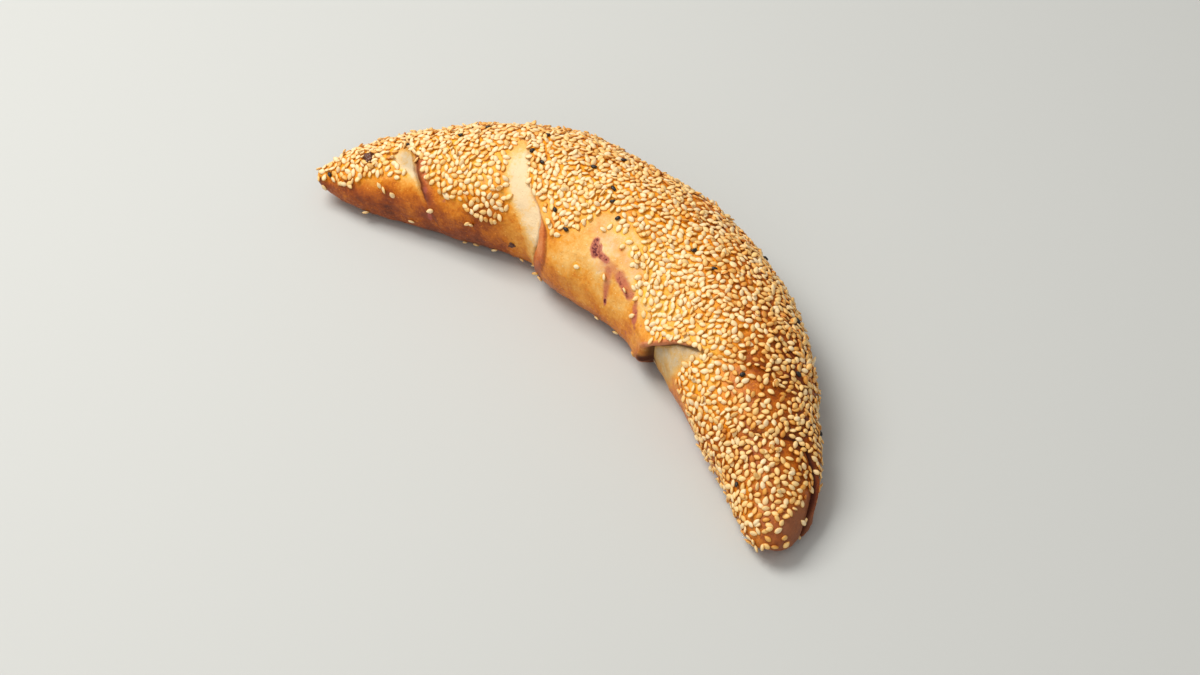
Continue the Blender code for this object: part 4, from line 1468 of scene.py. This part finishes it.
# %% Clear the marks that only the trees needed
for mesh in (sesame_mesh, black_mesh):
    for label in ("turn", "size"):
        mesh.attributes.remove(mesh.attributes[label])

# %% [markdown]
# ## Egg wash and painted light round the seeds
# The wash draws up round every seed by a fraction of a millimetre and browns there,
# which is why seeds on a roll look outlined. Its colours are also painted light, a
# saturated gold that keeps the shade between the seeds bright. The skin's points near a
# seed get a mask for it, from the distance to the nearest of the seed discs.

# %% Mark the skin near the seeds
WASH_GLOW_REACH = 0.9


def near_seeds(mesh):
    """1 at a seed's edge, fading to 0 at the reach of the wash and its painted light, for each point of the
    skin.
    """
    rows = {key: values[~is_piled] for key, values in seed_rows.items()}
    here, along, around = local_frame(rows["station"], rows["angle"])[:3]
    centre, radius = disc_rows(here, along, around, rows["turn"], rows["size"])[:2]
    centre, radius = centre.reshape(-1, 3), radius.reshape(-1)
    tree = KDTree(len(centre))
    for i, spot in enumerate(centre):
        tree.insert(spot * MM, i)
    tree.balance()
    mask = np.zeros(len(mesh.vertices))
    for vertex in mesh.vertices:
        _, i, gap = tree.find(vertex.co)
        mask[vertex.index] = 1 - min(max((gap / MM - radius[i]) / WASH_GLOW_REACH, 0), 1)
    return mask


covered = np.clip(sum(strip_masks(point_station, point_angle)), 0, 1)
wash_and_glow = near_seeds(dough_mesh) * (1 - covered)
write_mask(dough_mesh, "wash_and_glow", wash_and_glow)
print("wash: round the seeds on", round(float((wash_and_glow > 0.5).mean()) * 100), "% of the skin")

# %% [markdown]
# ## The chip of olive
# One dark chip of olive shows on the left tip, and a flake of it low beside the middle
# wrap. They are torn scraps, so a small ball is squashed and dented by a few waves, which
# costs nothing and never looks round.

# %% Chips of olive
# (station, angle), (length, width, thickness) in mm, turn
CHIPS = (((-131.4, 97), (5.6, 4, 2.6), 1.75), ((-52.3, 188), (3.2, 2.5, 0.8), 0.7))
CHIP_TILT = 0.1
# Waves of dents: (depth, waves along x, y and z, phase)
DENTS = ((0.17, (9, 2, 0), 0), (0.14, (0, 11, -6), 1), (0.07, (23, -19, 0), 2))


def olive_chips():
    """All the chips, seated on the skin and joined into one piece."""
    chips = []
    for (station, angle), size, turn in CHIPS:
        bpy.ops.mesh.primitive_ico_sphere_add(subdivisions=4, radius=0.5)
        chip = bpy.context.active_object
        shape = vertex_places(chip.data)
        dents = 1 + sum(depth * np.sin(shape @ np.array(waves) + phase) for depth, waves, phase in DENTS)
        shape = shape * dents[:, None] * np.array(size) * MM
        places, turns = seat(
            np.array([station]), np.array([angle]), [turn], [CHIP_TILT], [CHIP_TILT], [size], [0.0])
        shape = shape @ np.array(Euler(turns[0]).to_matrix()).T + places[0]
        chip.data.vertices.foreach_set("co", shape.astype(np.float32).ravel())
        chips.append(chip)
    with bpy.context.temp_override(active_object=chips[0], selected_editable_objects=chips):
        bpy.ops.object.join()
    chip = chips[0]
    chip.name = "olive_chip"
    chip.data.shade_smooth()
    chip.data.materials.append(OLIVE_SKIN)
    return chip


chip = olive_chips()
print("olive chips:", len(chip.data.polygons), "faces")

# %% Finish the dough
dough_mesh.materials.clear()
dough_mesh.materials.append(CRUST)
dough_mesh.shade_smooth()

# %% [markdown]
# ## Joining the frame
# Every piece rides on the frame's one body. The dough stands for the frame's solid,
# which stays only for collision.

# %% Ride on the frame's body, and hide the frame's solid
for piece, finish in ((dough, "crust"), (sesame, "sesame"), (black_seeds, "dark_bits"), (chip, "dark_bits")):
    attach(piece, "root")
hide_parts("olive_pie")

# %% [markdown]
# ## Floor and light
# The stage is plain: a pale floor, one broad soft light from the left, as from a
# window, a weak fill, and a pale sky. The light from the left leaves the left end's
# flank and the outer flank in shade.

# %% Floor
FLOOR_SIZE = 8
FLOOR_DROP = 0.2 * MM
bpy.ops.mesh.primitive_plane_add(size=FLOOR_SIZE, location=(0, 0, -FLOOR_DROP))
floor = bpy.context.active_object
floor.name = "floor"
floor_material, floor_tree, floor_shader = new_material("pale_floor", Roughness=0.7)
floor_patches = use_group(floor_tree, TOASTING, {"Broad scale": 3.0, "Fine scale": 40.0, "Fine share": 0.3})
floor_tone = maths(floor_tree, "MULTIPLY_ADD", floor_patches, 0.02, 0.5)
floor_color = ramp(floor_tree, floor_tone, ((0.0, lit(188, 190, 188)), (1.0, lit(202, 204, 202))))
floor_tree.links.new(floor_color, floor_shader.inputs["Base Color"])
floor.data.materials.append(floor_material)

# %% Lights
LIGHT_AIM = Vector((0.0, 0.0, 0.02))
SKY_COLOR = (1.0, 0.98, 0.95, 1.0)
SKY_STRENGTH = 0.38


def area_light(name, bearing, elevation, distance, size, power, color):
    """A square light that faces the pie."""
    data = bpy.data.lights.new(name, "AREA")
    data.size = size
    data.energy = power
    data.color = color
    stand_off(new_object(name, data), LIGHT_AIM, bearing, elevation, distance)


area_light("window", bearing=200, elevation=58, distance=1.3, size=0.75, power=16.5, color=(1.0, 0.975, 0.93))
area_light("fill", bearing=300, elevation=45, distance=1.6, size=1.4, power=6, color=(1.0, 0.97, 0.93))
world = bpy.data.worlds.new("pale_sky")
world.use_nodes = True
background = world.node_tree.nodes["Background"]
background.inputs["Color"].default_value = SKY_COLOR
background.inputs["Strength"].default_value = SKY_STRENGTH
bpy.context.scene.world = world
bpy.context.scene.view_settings.view_transform = "Standard"
